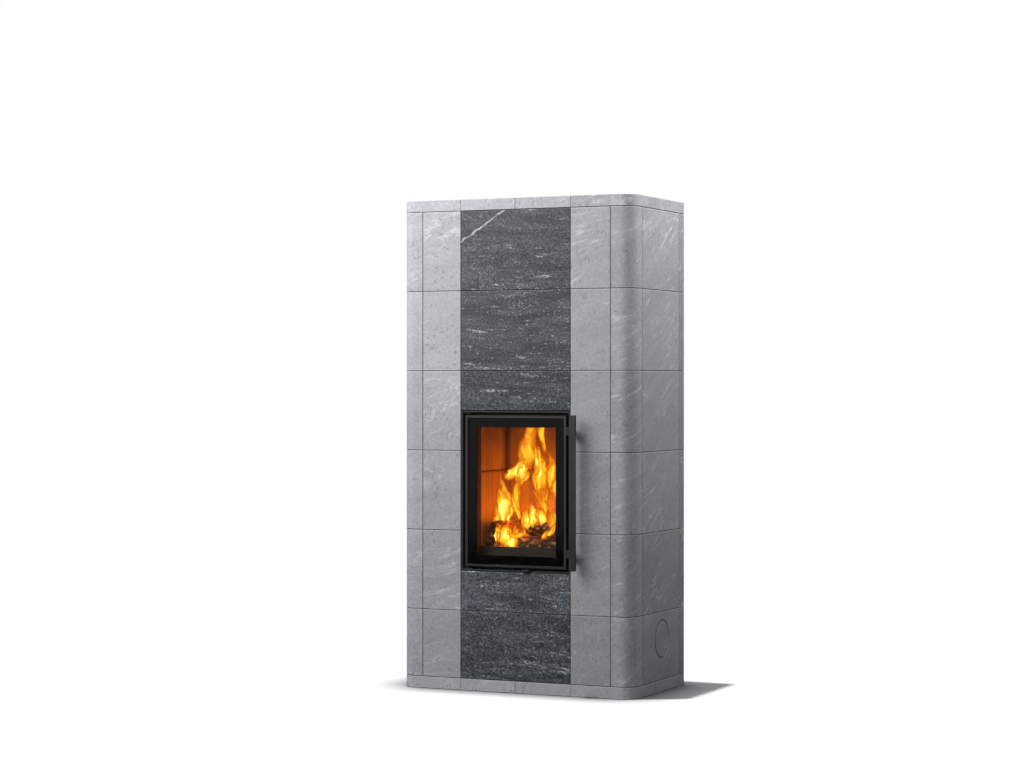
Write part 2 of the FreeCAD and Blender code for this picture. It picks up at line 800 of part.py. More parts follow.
def clip_levels():
    """Heights of the glass clips on each side of the leaf."""
    return ("leaf_low + clip_inset", "leaf_mid", "leaf_high - clip_inset")


def arm_levels():
    """Heights of the two handle arms."""
    return ("leaf_low + arm_inset", "leaf_high - arm_inset")


def arm_screw_levels(level):
    """Heights of the two screws that hold one arm."""
    return (f"{level} - arm_screw_spread / 2", f"{level} + arm_screw_spread / 2")


def door_frame():
    """The leaf's steel frame: front lip, edge wall, hinge bosses and clip bosses."""
    body = new_body("door_frame")
    box(body, ("-leaf_half", "leaf_half"), ("leaf_y", "leaf_back"), ("leaf_low", "leaf_high"))
    box(body, ("-pocket_half", "pocket_half"), ("tape_y", "leaf_back"),
        ("leaf_low + leaf_wall", "leaf_high - leaf_wall"), cut=True)
    open_half = "leaf_half - leaf_lip"
    box(body, (f"-({open_half})", open_half), ("leaf_y", "tape_y"),
        ("leaf_low + leaf_lip", "leaf_high - leaf_lip"), cut=True)
    hinge_wall = ("-pocket_half", "-pocket_half + boss_width")
    hinge_depth = ("hinge_y - boss_depth / 2", "hinge_y + boss_depth / 2")
    bosses = (("leaf_low + leaf_wall", "leaf_low + pin_engage + leaf_wall"),
              ("leaf_high - pin_engage - leaf_wall", "leaf_high - leaf_wall"))
    for z in bosses:
        box(body, hinge_wall, hinge_depth, z)
    place = ("hinge_x", "hinge_y")
    bore = "pin_radius + pin_play"
    rod(body, "z", bore, ("leaf_low", "leaf_low + pin_engage + leaf_wall"), place, cut=True)
    rod(body, "z", bore, ("leaf_high - pin_engage - leaf_wall", "leaf_high"), place, cut=True)
    for level in clip_levels():
        z = (f"{level} - clip_height / 2", f"{level} + clip_height / 2")
        for x in (("pocket_half - boss_width", "pocket_half"), ("-pocket_half", "-pocket_half + boss_width")):
            box(body, x, ("inner_y + boss_play", "inner_back"), z)
        for sign in ("", "-"):
            rod(body, "y", "clip_screw_radius + screw_play", ("inner_y + boss_play", "inner_back"),
                (f"{sign}(pocket_half - boss_width / 2)", level), cut=True)
    for level in arm_levels():
        for z in arm_screw_levels(level):
            rod(body, "x", "arm_screw_radius + screw_play", ("pocket_half", "leaf_half"), ("arm_screw_y", z),
                cut=True)
    keep(body)


def glazing():
    """Glass pane between the front tape and the cast inner frame, with the rope seal in its groove."""
    tape = new_body("glass_tape")
    frame(tape, "pocket_half", "leaf_low + leaf_wall", "leaf_high - leaf_wall", "leaf_lip - leaf_wall",
          ("tape_y", "glass_y"))
    keep(tape)
    half = "pocket_half - glass_play"
    keep(block("glass_pane", (f"-({half})", half), ("glass_y", "inner_y"),
               ("leaf_low + leaf_wall + glass_play", "leaf_high - leaf_wall - glass_play")))
    inner = new_body("inner_frame")
    frame(inner, "leaf_half - inner_edge", "leaf_low + inner_edge", "leaf_high - inner_edge", "inner_width",
          ("inner_y", "inner_back"))
    rope = new_body("door_rope_seal")
    rope_half = "leaf_half - rope_edge"
    rope_low, rope_high = "leaf_low + rope_edge", "leaf_high - rope_edge"
    groove = "inner_back - rope_sunk"
    frame(rope, rope_half, rope_low, rope_high, "rope_width", (groove, "flange_y - seal_play"))
    inside = f"{rope_half} - rope_width"
    for x in ((inside, rope_half), (f"-({rope_half})", f"-({inside})")):
        box(inner, x, (groove, "inner_back"), (rope_low, rope_high), cut=True)
    for z in ((rope_low, f"{rope_low} + rope_width"), (f"{rope_high} - rope_width", rope_high)):
        box(inner, (f"-({rope_half})", rope_half), (groove, "inner_back"), z, cut=True)
    keep(inner)
    keep(rope)


def glass_clips():
    """Clips and screws that press the inner frame and the glass against the lip."""
    clips = []
    screws = []
    clip_y = ("inner_back", "inner_back + clip_thick")
    x = ("leaf_half - inner_edge - clip_overlap", "pocket_half - glass_play * 2")
    for level in clip_levels():
        z = (f"{level} - clip_height / 2", f"{level} + clip_height / 2")
        number = len(clips) // 2 + 1
        place = ("pocket_half - boss_width / 2", level)
        clip = block(f"glass_clip_right_{number}", x, clip_y, z)
        rod(clip, "y", "clip_screw_radius + screw_play", clip_y, place, cut=True)
        screw = new_body(f"clip_screw_right_{number}")
        rod(screw, "y", "clip_screw_radius", ("inner_y + lip_thick", clip_y[1]), place)
        rod(screw, "y", f"clip_screw_radius * {HEAD_RATIO}",
            (clip_y[1], f"{clip_y[1]} + clip_screw_head"), place)
        clips += [clip, mirrored(f"glass_clip_left_{number}", clip)]
        screws += [screw, mirrored(f"clip_screw_left_{number}", screw)]
    group("glass_clips", clips)
    group("clip_screws", screws)


def latch_tongue():
    """Tongue on the leaf that pushes between the arms of the spring catch."""
    body = new_body("latch_tongue")
    z = ("latch_z - tongue_height / 2", "latch_z + tongue_height / 2")
    x = ("latch_x - tongue_thick / 2", "latch_x + tongue_thick / 2")
    box(body, x, ("leaf_back - tongue_thick", "bead_y"), z)
    box(body, ("latch_x - tongue_thick / 2", "pocket_half"), ("leaf_back - tongue_thick", "leaf_back"), z)
    rod(body, "z", "bead_radius", z, ("latch_x", "bead_y"))
    keep(body)


def handle():
    """Upright bar on two oblique arms, with a wooden grip let into its back."""
    bar = new_body("handle_bar")
    x = ("bar_x - bar_width / 2", "bar_x + bar_width / 2")
    box(bar, x, ("bar_y", "bar_back"), ("leaf_low - bar_overhang", "leaf_high + bar_overhang"))
    grip_z = ("leaf_low + arm_inset + arm_height / 2", "leaf_high - arm_inset - arm_height / 2")
    box(bar, x, ("bar_back - grip_depth", "bar_back"), grip_z, cut=True)
    keep(bar)
    keep(block("handle_grip", x, ("bar_back - grip_depth", "bar_back"), grip_z))
    foot_x = "leaf_half + arm_thick"
    outline = [("leaf_half", "leaf_y + lip_thick + arm_foot"), (foot_x, "leaf_y + lip_thick + arm_foot"),
               (foot_x, "leaf_y + lip_thick"), ("bar_x + arm_seat / 2", "bar_back"),
               ("bar_x - arm_seat / 2", "bar_back"), ("leaf_half", "leaf_y")]
    arms = []
    screws = []
    for level in arm_levels():
        arm = new_body(f"handle_arm_{len(arms) + 1}")
        prism(arm, outline, (f"{level} - arm_height / 2", f"{level} + arm_height / 2"))
        for z in arm_screw_levels(level):
            rod(arm, "x", "arm_screw_radius + screw_play", ("leaf_half", foot_x), ("arm_screw_y", z),
                cut=True)
            screw = new_body(f"arm_screw_{len(screws) + 1}")
            rod(screw, "x", "arm_screw_radius", ("pocket_half", foot_x), ("arm_screw_y", z))
            rod(screw, "x", f"arm_screw_radius * {HEAD_RATIO}", (foot_x, f"{foot_x} + arm_screw_head"),
                ("arm_screw_y", z))
            screws.append(screw)
        arms.append(arm)
    group("handle_arms", arms)
    group("arm_screws", screws)


# Air control

def air_control():
    """Sliding shutter in front of the flange's air slots, its lever under the leaf, and its guide."""
    plate = new_body("air_shutter")
    y = ("shutter_y", "shutter_y + shutter_thick")
    z = ("shutter_low", "shutter_low + shutter_height")
    box(plate, ("-shutter_half", "shutter_half"), y, z)
    for step in (-1, 0, 1):
        middle = f"{step} * slot_pitch"
        box(plate, (f"{middle} - slot_width / 2", f"{middle} + slot_width / 2"), y,
            ("slot_low", "slot_low + slot_height"), cut=True)
    keep(plate)
    lever = new_body("lever_arm")
    neck = ("lever_offset - lever_neck / 2", "lever_offset + lever_neck / 2")
    tab = ("lever_offset - lever_width / 2", "lever_offset + lever_width / 2")
    tab_y = ("front - lever_reach", "front - lever_reach + tab_thick")
    box(lever, neck, (tab_y[1], "shutter_y"), ("shutter_low", "shutter_low + lever_thick"))
    tab_low = "shutter_low + lever_thick / 2 - tab_height / 2"
    box(lever, tab, tab_y, (tab_low, f"{tab_low} + tab_height"))
    keep(lever)
    guide = new_body("shutter_guide")
    top = "shutter_low + shutter_height + shutter_play"
    x = ("-(shutter_half + slot_pitch / 2)", "shutter_half")
    box(guide, x, ("shutter_y - shutter_play - guide_thick", "flange_y"), (top, f"{top} + guide_height"))
    box(guide, x, ("shutter_y - shutter_play - guide_thick", "shutter_y - shutter_play"),
        (f"{top} - guide_lap", top))
    keep(guide)


def round_lever_tab():
    """Round the upright ends of the lever's tab."""
    body = doc.getObject("lever_arm")
    base = body.Tip
    whole = base.Shape.BoundBox
    names = []
    for index, edge in enumerate(base.Shape.Edges, start=1):
        size = edge.BoundBox
        across = size.YLength > EPSILON and size.XLength < EPSILON and size.ZLength < EPSILON
        if across and abs(size.YMin - whole.YMin) < EPSILON and size.YLength < SIZES["tab_thick"] + EPSILON:
            names.append(f"Edge{index}")
    feature = body.newObject("PartDesign::Fillet", "lever_arm_round")
    feature.Base = (base, names)
    feature.setExpression("Radius", bind("tab_radius"))


def check(things):
    """Stop on any object that failed to build."""
    for thing in doc.Objects:
        if "Invalid" in thing.State or "Error" in thing.State:
            raise RuntimeError(f"{thing.Label} failed: {thing.State}")
    for thing in things:
        if thing.Shape.isNull() or not thing.Shape.isValid() or not thing.Shape.Solids:
            raise RuntimeError(f"{thing.Label} has no valid solid")


shell_columns()
hatch_stones()
soot_plugs()
accent_stones()
slabs()
rear_centre()
flue_collar()
core_base()
hearth()
grate()
ash_box()
firebox_walls()
upper_core()
door_surround()
surround_seals()
surround_screws()
hinges()
latch_spring()
log_guard()
door_frame()
glazing()
glass_clips()
latch_tongue()
handle()
air_control()
doc.recompute()

for shell_stone in stones_to_round:
    round_corner(shell_stone)
round_lever_tab()
doc.recompute()

for shell_stone, shown in stones_to_ease:
    ease(shell_stone, shown)
doc.recompute()

check(nodes)
os.makedirs("parts", exist_ok=True)
for node in nodes:
    node.Shape.exportStep(f"parts/{node.Label}.step")
    print(f"{node.Label}: {len(node.Shape.Solids)} solids")
print(f"{len(nodes)} nodes")
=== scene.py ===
import json
import math
import random

import bpy
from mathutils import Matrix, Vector, noise


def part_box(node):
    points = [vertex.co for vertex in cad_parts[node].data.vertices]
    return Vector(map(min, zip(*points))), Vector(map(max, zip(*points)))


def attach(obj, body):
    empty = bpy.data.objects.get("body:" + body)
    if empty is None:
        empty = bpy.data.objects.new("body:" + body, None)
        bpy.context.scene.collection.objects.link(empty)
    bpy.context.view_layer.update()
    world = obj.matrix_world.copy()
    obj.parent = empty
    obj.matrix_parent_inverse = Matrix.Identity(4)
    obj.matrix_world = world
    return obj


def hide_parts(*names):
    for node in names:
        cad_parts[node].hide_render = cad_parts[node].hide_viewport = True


# The heater's looks: stone, steel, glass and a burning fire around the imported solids.
# Metres, in the part's own frame: X right, Y back, Z up from the floor.

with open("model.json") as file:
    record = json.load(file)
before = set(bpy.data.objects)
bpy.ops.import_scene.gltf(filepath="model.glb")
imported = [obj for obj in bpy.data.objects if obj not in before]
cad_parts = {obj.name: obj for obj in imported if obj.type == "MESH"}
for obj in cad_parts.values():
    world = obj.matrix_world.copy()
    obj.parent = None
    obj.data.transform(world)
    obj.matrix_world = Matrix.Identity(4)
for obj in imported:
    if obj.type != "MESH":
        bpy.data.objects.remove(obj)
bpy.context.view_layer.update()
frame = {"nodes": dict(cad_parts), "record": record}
record = frame["record"]

STRIP_LOW, STRIP_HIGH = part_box("accent_stone_high")
COURSE = STRIP_HIGH.z - STRIP_LOW.z
STRIP_HALF = STRIP_HIGH.x
SLAB_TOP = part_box("base_slabs")[1].z
JOINT_HALF = 0.0012
JOINT_SOFT = 0.0002
PLUG_GAP = 0.0022
ARRIS_BAND = 0.006
WALL_STONE = 0.300
WALL_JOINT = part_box("right_firebox_wall")[0].z + WALL_STONE

# Photograph's camera
CAMERA_PLACE = (3.5624, -7.8328, 1.0732)
CAMERA_TURN = math.radians(25.2)
CAMERA_LENS = 85
SENSOR_WIDTH = 36


# Node building

class Graph:
    """One procedural material; each call adds a node and returns its output."""

    def __init__(self, name):
        self.material = bpy.data.materials.new(name)
        self.material.use_nodes = True
        self.nodes = self.material.node_tree.nodes
        self.links = self.material.node_tree.links
        self.shader = self.nodes["Principled BSDF"]
        self.place = self.nodes.new("ShaderNodeTexCoord").outputs["Object"]

    def put(self, socket, value):
        """Link an output, or set a plain value."""
        if isinstance(value, bpy.types.NodeSocket):
            self.links.new(value, socket)
        else:
            socket.default_value = value

    def set(self, **values):
        """Feed the shader's own inputs; underscores stand for spaces."""
        for name, value in values.items():
            self.put(self.shader.inputs[name.replace("_", " ")], value)

    def math(self, operation, first, second=0.0, clamp=False):
        node = self.nodes.new("ShaderNodeMath")
        node.operation = operation
        node.use_clamp = clamp
        self.put(node.inputs[0], first)
        self.put(node.inputs[1], second)
        return node.outputs[0]

    def times(self, first, second):
        return self.math("MULTIPLY", first, second)

    def plus(self, first, second):
        return self.math("ADD", first, second)

    def minus(self, first, second):
        return self.math("SUBTRACT", first, second)

    def absolute(self, value):
        return self.math("ABSOLUTE", value)

    def vector(self, operation, first, second):
        node = self.nodes.new("ShaderNodeVectorMath")
        node.operation = operation
        self.put(node.inputs[0], first)
        self.put(node.inputs[1], second)
        return node.outputs["Value" if operation == "DOT_PRODUCT" else "Vector"]

    def stretch(self, x, y, z):
        """The object's own places, scaled along each axis."""
        return self.vector("MULTIPLY", self.place, (x, y, z))

    def split(self, place):
        node = self.nodes.new("ShaderNodeSeparateXYZ")
        self.put(node.inputs[0], place)
        return node.outputs

    def join(self, x, y, z):
        node = self.nodes.new("ShaderNodeCombineXYZ")
        for socket, value in zip(node.inputs, (x, y, z)):
            self.put(socket, value)
        return node.outputs[0]

    def noise(self, place, scale, detail=4.0, roughness=0.55, distortion=0.0):
        node = self.nodes.new("ShaderNodeTexNoise")
        self.put(node.inputs["Vector"], place)
        node.inputs["Scale"].default_value = scale
        node.inputs["Detail"].default_value = detail
        node.inputs["Roughness"].default_value = roughness
        node.inputs["Distortion"].default_value = distortion
        return node.outputs["Fac"]

    def cells(self, place, scale, feature="F1"):
        """Voronoi cells: distance and a colour for each cell."""
        node = self.nodes.new("ShaderNodeTexVoronoi")
        node.feature = feature
        self.put(node.inputs["Vector"], place)
        node.inputs["Scale"].default_value = scale
        return node.outputs["Distance"], node.outputs.get("Color")

    def dice(self, place):
        """One random value and colour for each place."""
        node = self.nodes.new("ShaderNodeTexWhiteNoise")
        self.put(node.inputs["Vector"], place)
        return node.outputs["Value"], node.outputs["Color"]

    def ramp(self, value, low, high, start=0.0, end=1.0):
        """Smooth step of a value between two limits."""
        node = self.nodes.new("ShaderNodeMapRange")
        node.interpolation_type = "SMOOTHSTEP"
        self.put(node.inputs["Value"], value)
        node.inputs["From Min"].default_value = low
        node.inputs["From Max"].default_value = high
        node.inputs["To Min"].default_value = start
        node.inputs["To Max"].default_value = end
        return node.outputs["Result"]

    def mix(self, share, first, second, blend="MIX"):
        node = self.nodes.new("ShaderNodeMix")
        node.data_type = "RGBA"
        node.blend_type = blend
        self.put(node.inputs[0], share)
        for socket, value in zip(node.inputs[6:8], (first, second)):
            self.put(socket, value if isinstance(value, bpy.types.NodeSocket) else (*value, 1.0))
        return node.outputs[2]

    def paint(self, colour, layers):
        """Lay colours over one another, each with its mask and strength."""
        for mask, strength, layer in layers:
            colour = self.mix(self.times(mask, strength), colour, layer)
        return colour

    def shade(self, colour, factor):
        """A colour made lighter or darker by a factor."""
        return self.vector("MULTIPLY", colour, self.join(factor, factor, factor))

    def bump(self, height, distance, strength=1.0):
        node = self.nodes.new("ShaderNodeBump")
        node.inputs["Distance"].default_value = distance
        node.inputs["Strength"].default_value = strength
        self.put(node.inputs["Height"], height)
        self.put(self.shader.inputs["Normal"], node.outputs["Normal"])

    def edges(self, radius):
        """Mask of the sharp edges, for wear; on the coated steel it also carries a painted highlight."""
        round_normal = self.nodes.new("ShaderNodeBevel")
        round_normal.samples = 4
        round_normal.inputs["Radius"].default_value = radius
        flat_normal = self.nodes.new("ShaderNodeNewGeometry").outputs["Normal"]
        likeness = self.vector("DOT_PRODUCT", round_normal.outputs["Normal"], flat_normal)
        return self.ramp(likeness, 0.985, 0.85)


# Materials

FIBRE_GREY_AND_CHANNEL_LIGHT = (0.115, 0.112, 0.105)
FIRE_COLOUR = (1.0, 0.17, 0.004)


def stone_place(graph, slabs=False):
    """Places shifted at random for each stone, and the stone's own random value."""
    x, _, z = graph.split(graph.place)
    course = graph.math("FLOOR", graph.math("DIVIDE", graph.minus(z, STRIP_LOW.z), COURSE))
    column = graph.nodes.new("ShaderNodeObjectInfo").outputs["Random"]
    slab = 0.0
    if slabs:
        slab = graph.math("FLOOR", graph.math("DIVIDE", x, STRIP_HALF))
        slab = graph.math("MINIMUM", graph.math("MAXIMUM", slab, -2.0), 1.0)
    value, colour = graph.dice(graph.join(graph.times(column, 91.0), course, slab))
    shift = graph.vector("MULTIPLY", colour, (9.0, 9.0, 9.0))
    return graph.vector("ADD", graph.place, shift), value


def joint_groove_shade(graph):
    """Mask of the narrow grooves where one course lies on the next, painted dark as shade in them."""
    z = graph.split(graph.place)[2]
    share = graph.math("DIVIDE", z, COURSE)
    off_course = graph.absolute(graph.minus(share, graph.math("ROUND", share)))
    off_slab = graph.absolute(graph.minus(z, SLAB_TOP))
    distance = graph.math("MINIMUM", graph.times(off_course, COURSE), off_slab)
    return graph.ramp(distance, JOINT_HALF + JOINT_SOFT, JOINT_HALF - JOINT_SOFT)


def arris_wear_and_highlight(graph):
    """Mask of a pale band on the upper edge of each stone, just under the joint above it: a painted
    highlight where the edge faces the light above, with wear.
    """
    z = graph.split(graph.place)[2]
    share = graph.math("DIVIDE", z, COURSE)
    over_course = graph.times(graph.minus(graph.math("CEIL", share), share), COURSE)
    over_slab = graph.minus(SLAB_TOP, z)
    near = [graph.times(graph.ramp(depth, 0.0, JOINT_HALF), graph.ramp(depth, ARRIS_BAND, ARRIS_BAND / 2))
            for depth in (over_course, over_slab)]
    return graph.math("MAXIMUM", *near)


def plug_gap_shade(graph, plug):
    """Mask of the ring round a soot plug, seen from the side, painted dark as shade in its gap."""
    low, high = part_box(plug)
    middle = (low + high) / 2
    _, y, z = graph.split(graph.place)
    off_y = graph.math("POWER", graph.minus(y, middle.y), 2.0)
    off_z = graph.math("POWER", graph.minus(z, middle.z), 2.0)
    away = graph.math("SQRT", graph.plus(off_y, off_z))
    off_ring = graph.absolute(graph.minus(away, (high.z - low.z) / 2))
    return graph.ramp(off_ring, PLUG_GAP, PLUG_GAP / 2)


LIGHT_GREY = (0.390, 0.387, 0.414)
STONE_SHINE = 0.35
STONE_GRAIN = 0.0004


def light_stone(name, slabs=False, plug=None, light_and_shade=1.0):
    """Grey soapstone: clouds, pale wisps that rise to the right, hair scratches and blue-grey flecks."""
    graph = Graph(name)
    place, tone_and_shade = stone_place(graph, slabs)
    x, y, _ = graph.split(place)
    rise = graph.vector("DOT_PRODUCT", place, (-0.25, -0.55, 1.0))
    strata = graph.join(x, y, graph.times(rise, 4.5))
    cloud = graph.noise(strata, 2.4, 5.0, 0.6, 0.4)
    feather = graph.noise(place, 70.0, 3.0, 0.7)
    ridge = graph.absolute(graph.minus(graph.noise(strata, 2.6, 5.0, 0.62, 0.7), 0.5))
    patch = graph.ramp(graph.noise(place, 5.0, 2.0), 0.46, 0.60)
    wisp = graph.times(graph.ramp(ridge, 0.020, 0.0), graph.ramp(feather, 0.34, 0.58, 0.25, 1.0))
    wisp = graph.times(wisp, patch)
    curl = graph.absolute(graph.minus(graph.noise(place, 6.5, 3.0, 0.55, 1.1), 0.5))
    swirl = graph.times(graph.ramp(curl, 0.010, 0.0), graph.ramp(feather, 0.42, 0.62))
    swirl = graph.times(swirl, graph.ramp(graph.noise(place, 3.4, 2.0), 0.50, 0.60))
    haze = graph.ramp(graph.noise(strata, 5.5, 4.0, 0.6), 0.54, 0.74)
    hair_place = graph.join(x, y, graph.times(rise, 5.5))
    hair = graph.ramp(graph.noise(hair_place, 34.0, 3.0, 0.65), 0.63, 0.72)
    hair = graph.times(hair, graph.ramp(graph.noise(place, 9.0, 2.0), 0.42, 0.62, 0.25, 1.0))
    grain = graph.noise(place, 300.0, 3.0, 0.7)
    mottle = graph.noise(place, 110.0, 4.0, 0.72)

    slant = graph.join(x, y, graph.vector("DOT_PRODUCT", place, (-0.5, -0.5, 0.62)))
    spot, spot_colour = graph.cells(slant, 95.0)
    chosen = graph.ramp(graph.split(spot_colour)[0], 0.66, 0.74)
    cluster = graph.ramp(graph.noise(place, 11.0, 2.0), 0.42, 0.56)
    fleck = graph.times(graph.ramp(spot, 0.46, 0.20), graph.times(chosen, cluster))
    level_place = graph.vector("MULTIPLY", place, (0.55, 0.55, 1.0))
    blot, blot_colour = graph.cells(level_place, 62.0)
    blot_chosen = graph.ramp(graph.split(blot_colour)[1], 0.78, 0.84)
    blot_cluster = graph.ramp(graph.noise(place, 6.0, 2.0), 0.50, 0.60)
    blot = graph.times(graph.ramp(blot, 0.34, 0.14), graph.times(blot_chosen, blot_cluster))

    level = graph.ramp(cloud, 0.25, 0.75, 0.91, 1.08)
    level = graph.times(level, graph.ramp(mottle, 0.2, 0.8, 0.82, 1.18))
    level = graph.times(level, graph.ramp(grain, 0.2, 0.8, 0.84, 1.16))
    level = graph.times(level, graph.ramp(tone_and_shade, 0.0, 1.0, 0.94, 1.05))
    # Painted light and shade: the whole stone made lighter or darker for where it stands in the light.
    level = graph.times(level, light_and_shade)
    layers = [
        (haze, 0.22, (0.52, 0.515, 0.53)),
        (hair, 0.42, (0.63, 0.63, 0.64)),
        (swirl, 0.50, (0.66, 0.66, 0.665)),
        (wisp, 0.62, (0.68, 0.675, 0.68)),
        (fleck, 0.46, (0.15, 0.157, 0.19)),
        (blot, 0.50, (0.17, 0.18, 0.215)),
        # Painted highlight, with wear, on each stone's upper edge.
        (arris_wear_and_highlight(graph), 0.42, (0.62, 0.62, 0.63)),
        # Painted shade in the joint grooves.
        (joint_groove_shade(graph), 0.93, (0.012, 0.012, 0.013)),
    ]
    if slabs:
        # Painted shade in the butt joint between the middle slabs.
        off_middle = graph.absolute(graph.split(graph.place)[0])
        butt_joint_shade = graph.ramp(off_middle, JOINT_HALF, JOINT_HALF / 2)
        layers.append((butt_joint_shade, 0.60, (0.05, 0.05, 0.055)))
    if plug:
        # Painted shade in the gap round the plug.
        layers.append((plug_gap_shade(graph, plug), 0.75, (0.02, 0.02, 0.022)))
    colour = graph.paint(graph.shade(LIGHT_GREY, level), layers)
    rough = graph.ramp(mottle, 0.25, 0.75, 0.62, 0.74)
    rough = graph.minus(rough, graph.times(wisp, 0.08))
    graph.set(Base_Color=colour, Roughness=rough, Specular_IOR_Level=STONE_SHINE)
    graph.bump(graph.plus(grain, graph.times(fleck, -0.6)), STONE_GRAIN, 0.5)
    return graph.material


DARK_GREY = (0.076, 0.084, 0.100)
VEIN_START = Vector((-0.212, 0.0, 1.570))
VEIN_END = Vector((-0.023, 0.0, 1.690))
VEIN_WANDER = 0.020
VEIN_HEART = 0.0008
VEIN_EDGE = 0.0038


def dark_stone(name, tone_and_shade, vein=False):
    """Blue-black soapstone: fine pale grain in level beds, with broken white flecks along some of them."""
    graph = Graph(name)
    place, _ = stone_place(graph)
    x, y, _ = graph.split(place)
    rise = graph.vector("DOT_PRODUCT", place, (0.04, 0.04, 1.0))

    def bed(flat):
        """Places pressed flat along the beds."""
        return graph.join(x, y, graph.times(rise, flat))

    band = graph.noise(bed(7.0), 4.2, 5.0, 0.6, 0.7)
    speckle = graph.noise(bed(1.3), 165.0, 3.0, 0.72)
    fine = graph.noise(bed(1.1), 420.0, 2.0, 0.7)
    layer = graph.ramp(graph.noise(bed(6.0), 4.4, 4.0, 0.62), 0.54, 0.64)
    chip = graph.noise(bed(2.0), 92.0, 3.0, 0.74, 0.4)
    flake = graph.times(graph.ramp(chip, 0.53, 0.66), layer)
    seam = graph.noise(bed(8.0), 9.0, 5.0, 0.70, 0.5)
    streak = graph.times(graph.ramp(seam, 0.60, 0.66), graph.ramp(chip, 0.44, 0.56))
    spot, spot_colour = graph.cells(bed(1.5), 110.0)
    chosen = graph.ramp(graph.split(spot_colour)[1], 0.95, 0.98)
    crystal = graph.times(graph.ramp(spot, 0.40, 0.16), chosen)

    level = graph.ramp(band, 0.30, 0.70, 0.58, 1.38)
    level = graph.times(level, graph.ramp(fine, 0.28, 0.72, 0.36, 1.58))
    level = graph.times(level, graph.ramp(speckle, 0.30, 0.70, 0.20, 1.72))
    pale = graph.times(graph.ramp(speckle, 0.56, 0.74), graph.ramp(band, 0.32, 0.68, 0.20, 0.75))
    colour = graph.mix(pale, graph.shade(DARK_GREY, level), (0.27, 0.285, 0.31))
    colour = graph.paint(colour, [
        (crystal, 0.65, (0.50, 0.52, 0.54)),
        (flake, 0.85, (0.47, 0.485, 0.50)),
        (streak, 0.80, (0.58, 0.59, 0.59)),
    ])
    # The dark stone's own tone, with painted light and shade.
    colour = graph.shade(colour, tone_and_shade)
    if vein:
        along = (VEIN_END - VEIN_START).normalized()
        across = (along.z, 0.0, -along.x)
        offset = graph.vector("DOT_PRODUCT", graph.vector("SUBTRACT", graph.place, VEIN_START), across)
        wander = graph.minus(graph.noise(graph.place, 38.0, 4.0, 0.65), 0.5)
        distance = graph.absolute(graph.plus(offset, graph.times(wander, VEIN_WANDER)))
        strength = graph.ramp(graph.noise(graph.place, 60.0, 2.0), 0.30, 0.58, 0.30, 0.90)
        line = graph.ramp(distance, VEIN_EDGE, VEIN_HEART)
        colour = graph.paint(colour, [(line, strength, (0.56, 0.56, 0.55))])
    colour = graph.paint(colour, [
        # Painted highlight, with wear, on each stone's upper edge.
        (arris_wear_and_highlight(graph), 0.15, (0.20, 0.21, 0.23)),
        # Painted shade in the joint grooves.
        (joint_groove_shade(graph), 0.93, (0.008, 0.008, 0.009)),
    ])
    rough = graph.ramp(speckle, 0.3, 0.7, 0.50, 0.68)
    graph.set(Base_Color=colour, Roughness=rough, Specular_IOR_Level=STONE_SHINE)
    graph.bump(graph.plus(speckle, fine), STONE_GRAIN, 0.5)
    return graph.material


CORE_GREY = (0.265, 0.210, 0.150)
BURNT_TINT = (1.12, 1.12, 0.36)
BURNT_SKIN = 0.001
BURNT_DEPTH = 0.007
FIRE_SIDE = 0.165
FIRE_BACK = 0.040


def core_stone():
    """Firebox soapstone: warm grey, burnt to ochre on the fire's side, sooted in drifts, with painted shade
    in the back corners, and saw lines.
    """
    graph = Graph("core_stone")
    cloud = graph.noise(graph.place, 5.0, 5.0, 0.6)
    grain = graph.noise(graph.place, 260.0, 3.0, 0.7)
    x, y, z = graph.split(graph.place)
    saw = graph.noise(graph.stretch(4.0, 4.0, 120.0), 1.0, 2.0)
    level = graph.times(graph.ramp(cloud, 0.3, 0.7, 0.72, 1.12), graph.ramp(grain, 0.2, 0.8, 0.86, 1.12))
    runs = graph.noise(graph.stretch(34.0, 34.0, 1.0), 1.0, 4.0, 0.6)
    level = graph.times(level, graph.ramp(runs, 0.34, 0.66, 0.70, 1.18))
    off_x = graph.absolute(x)
    burnt = graph.times(graph.ramp(off_x, FIRE_SIDE + BURNT_DEPTH, FIRE_SIDE + BURNT_SKIN),
                        graph.ramp(y, FIRE_BACK + BURNT_DEPTH, FIRE_BACK + BURNT_SKIN))
    colour = graph.mix(burnt, graph.shade(CORE_GREY, level), BURNT_TINT, "MULTIPLY")
    soot = graph.times(graph.ramp(z, 0.62, 1.0), graph.ramp(cloud, 0.40, 0.62))
    # Painted shade in the back corners of the firebox, high up.
    corner = graph.times(graph.ramp(y, FIRE_BACK - 0.028, FIRE_BACK),
                         graph.ramp(off_x, FIRE_SIDE - 0.025, FIRE_SIDE))
    corner = graph.times(corner, graph.ramp(z, 0.68, 0.80))
    off_joint = graph.minus(z, WALL_JOINT)
    groove = graph.ramp(graph.absolute(off_joint), 0.0034, 0.0022)
    stain = graph.times(graph.ramp(off_joint, -0.012, -0.004), graph.ramp(off_joint, 0.004, 0.0))
    colour = graph.paint(colour, [
        (soot, 0.75, (0.030, 0.026, 0.022)),
        (corner, 0.80, (0.018, 0.014, 0.011)),
        (stain, 0.45, (0.06, 0.045, 0.035)),
        (groove, 0.92, (0.010, 0.009, 0.008)),
    ])
    graph.set(Base_Color=colour, Roughness=graph.ramp(grain, 0.2, 0.8, 0.72, 0.9))
    graph.bump(graph.plus(grain, saw), 0.0006, 0.5)
    return graph.material


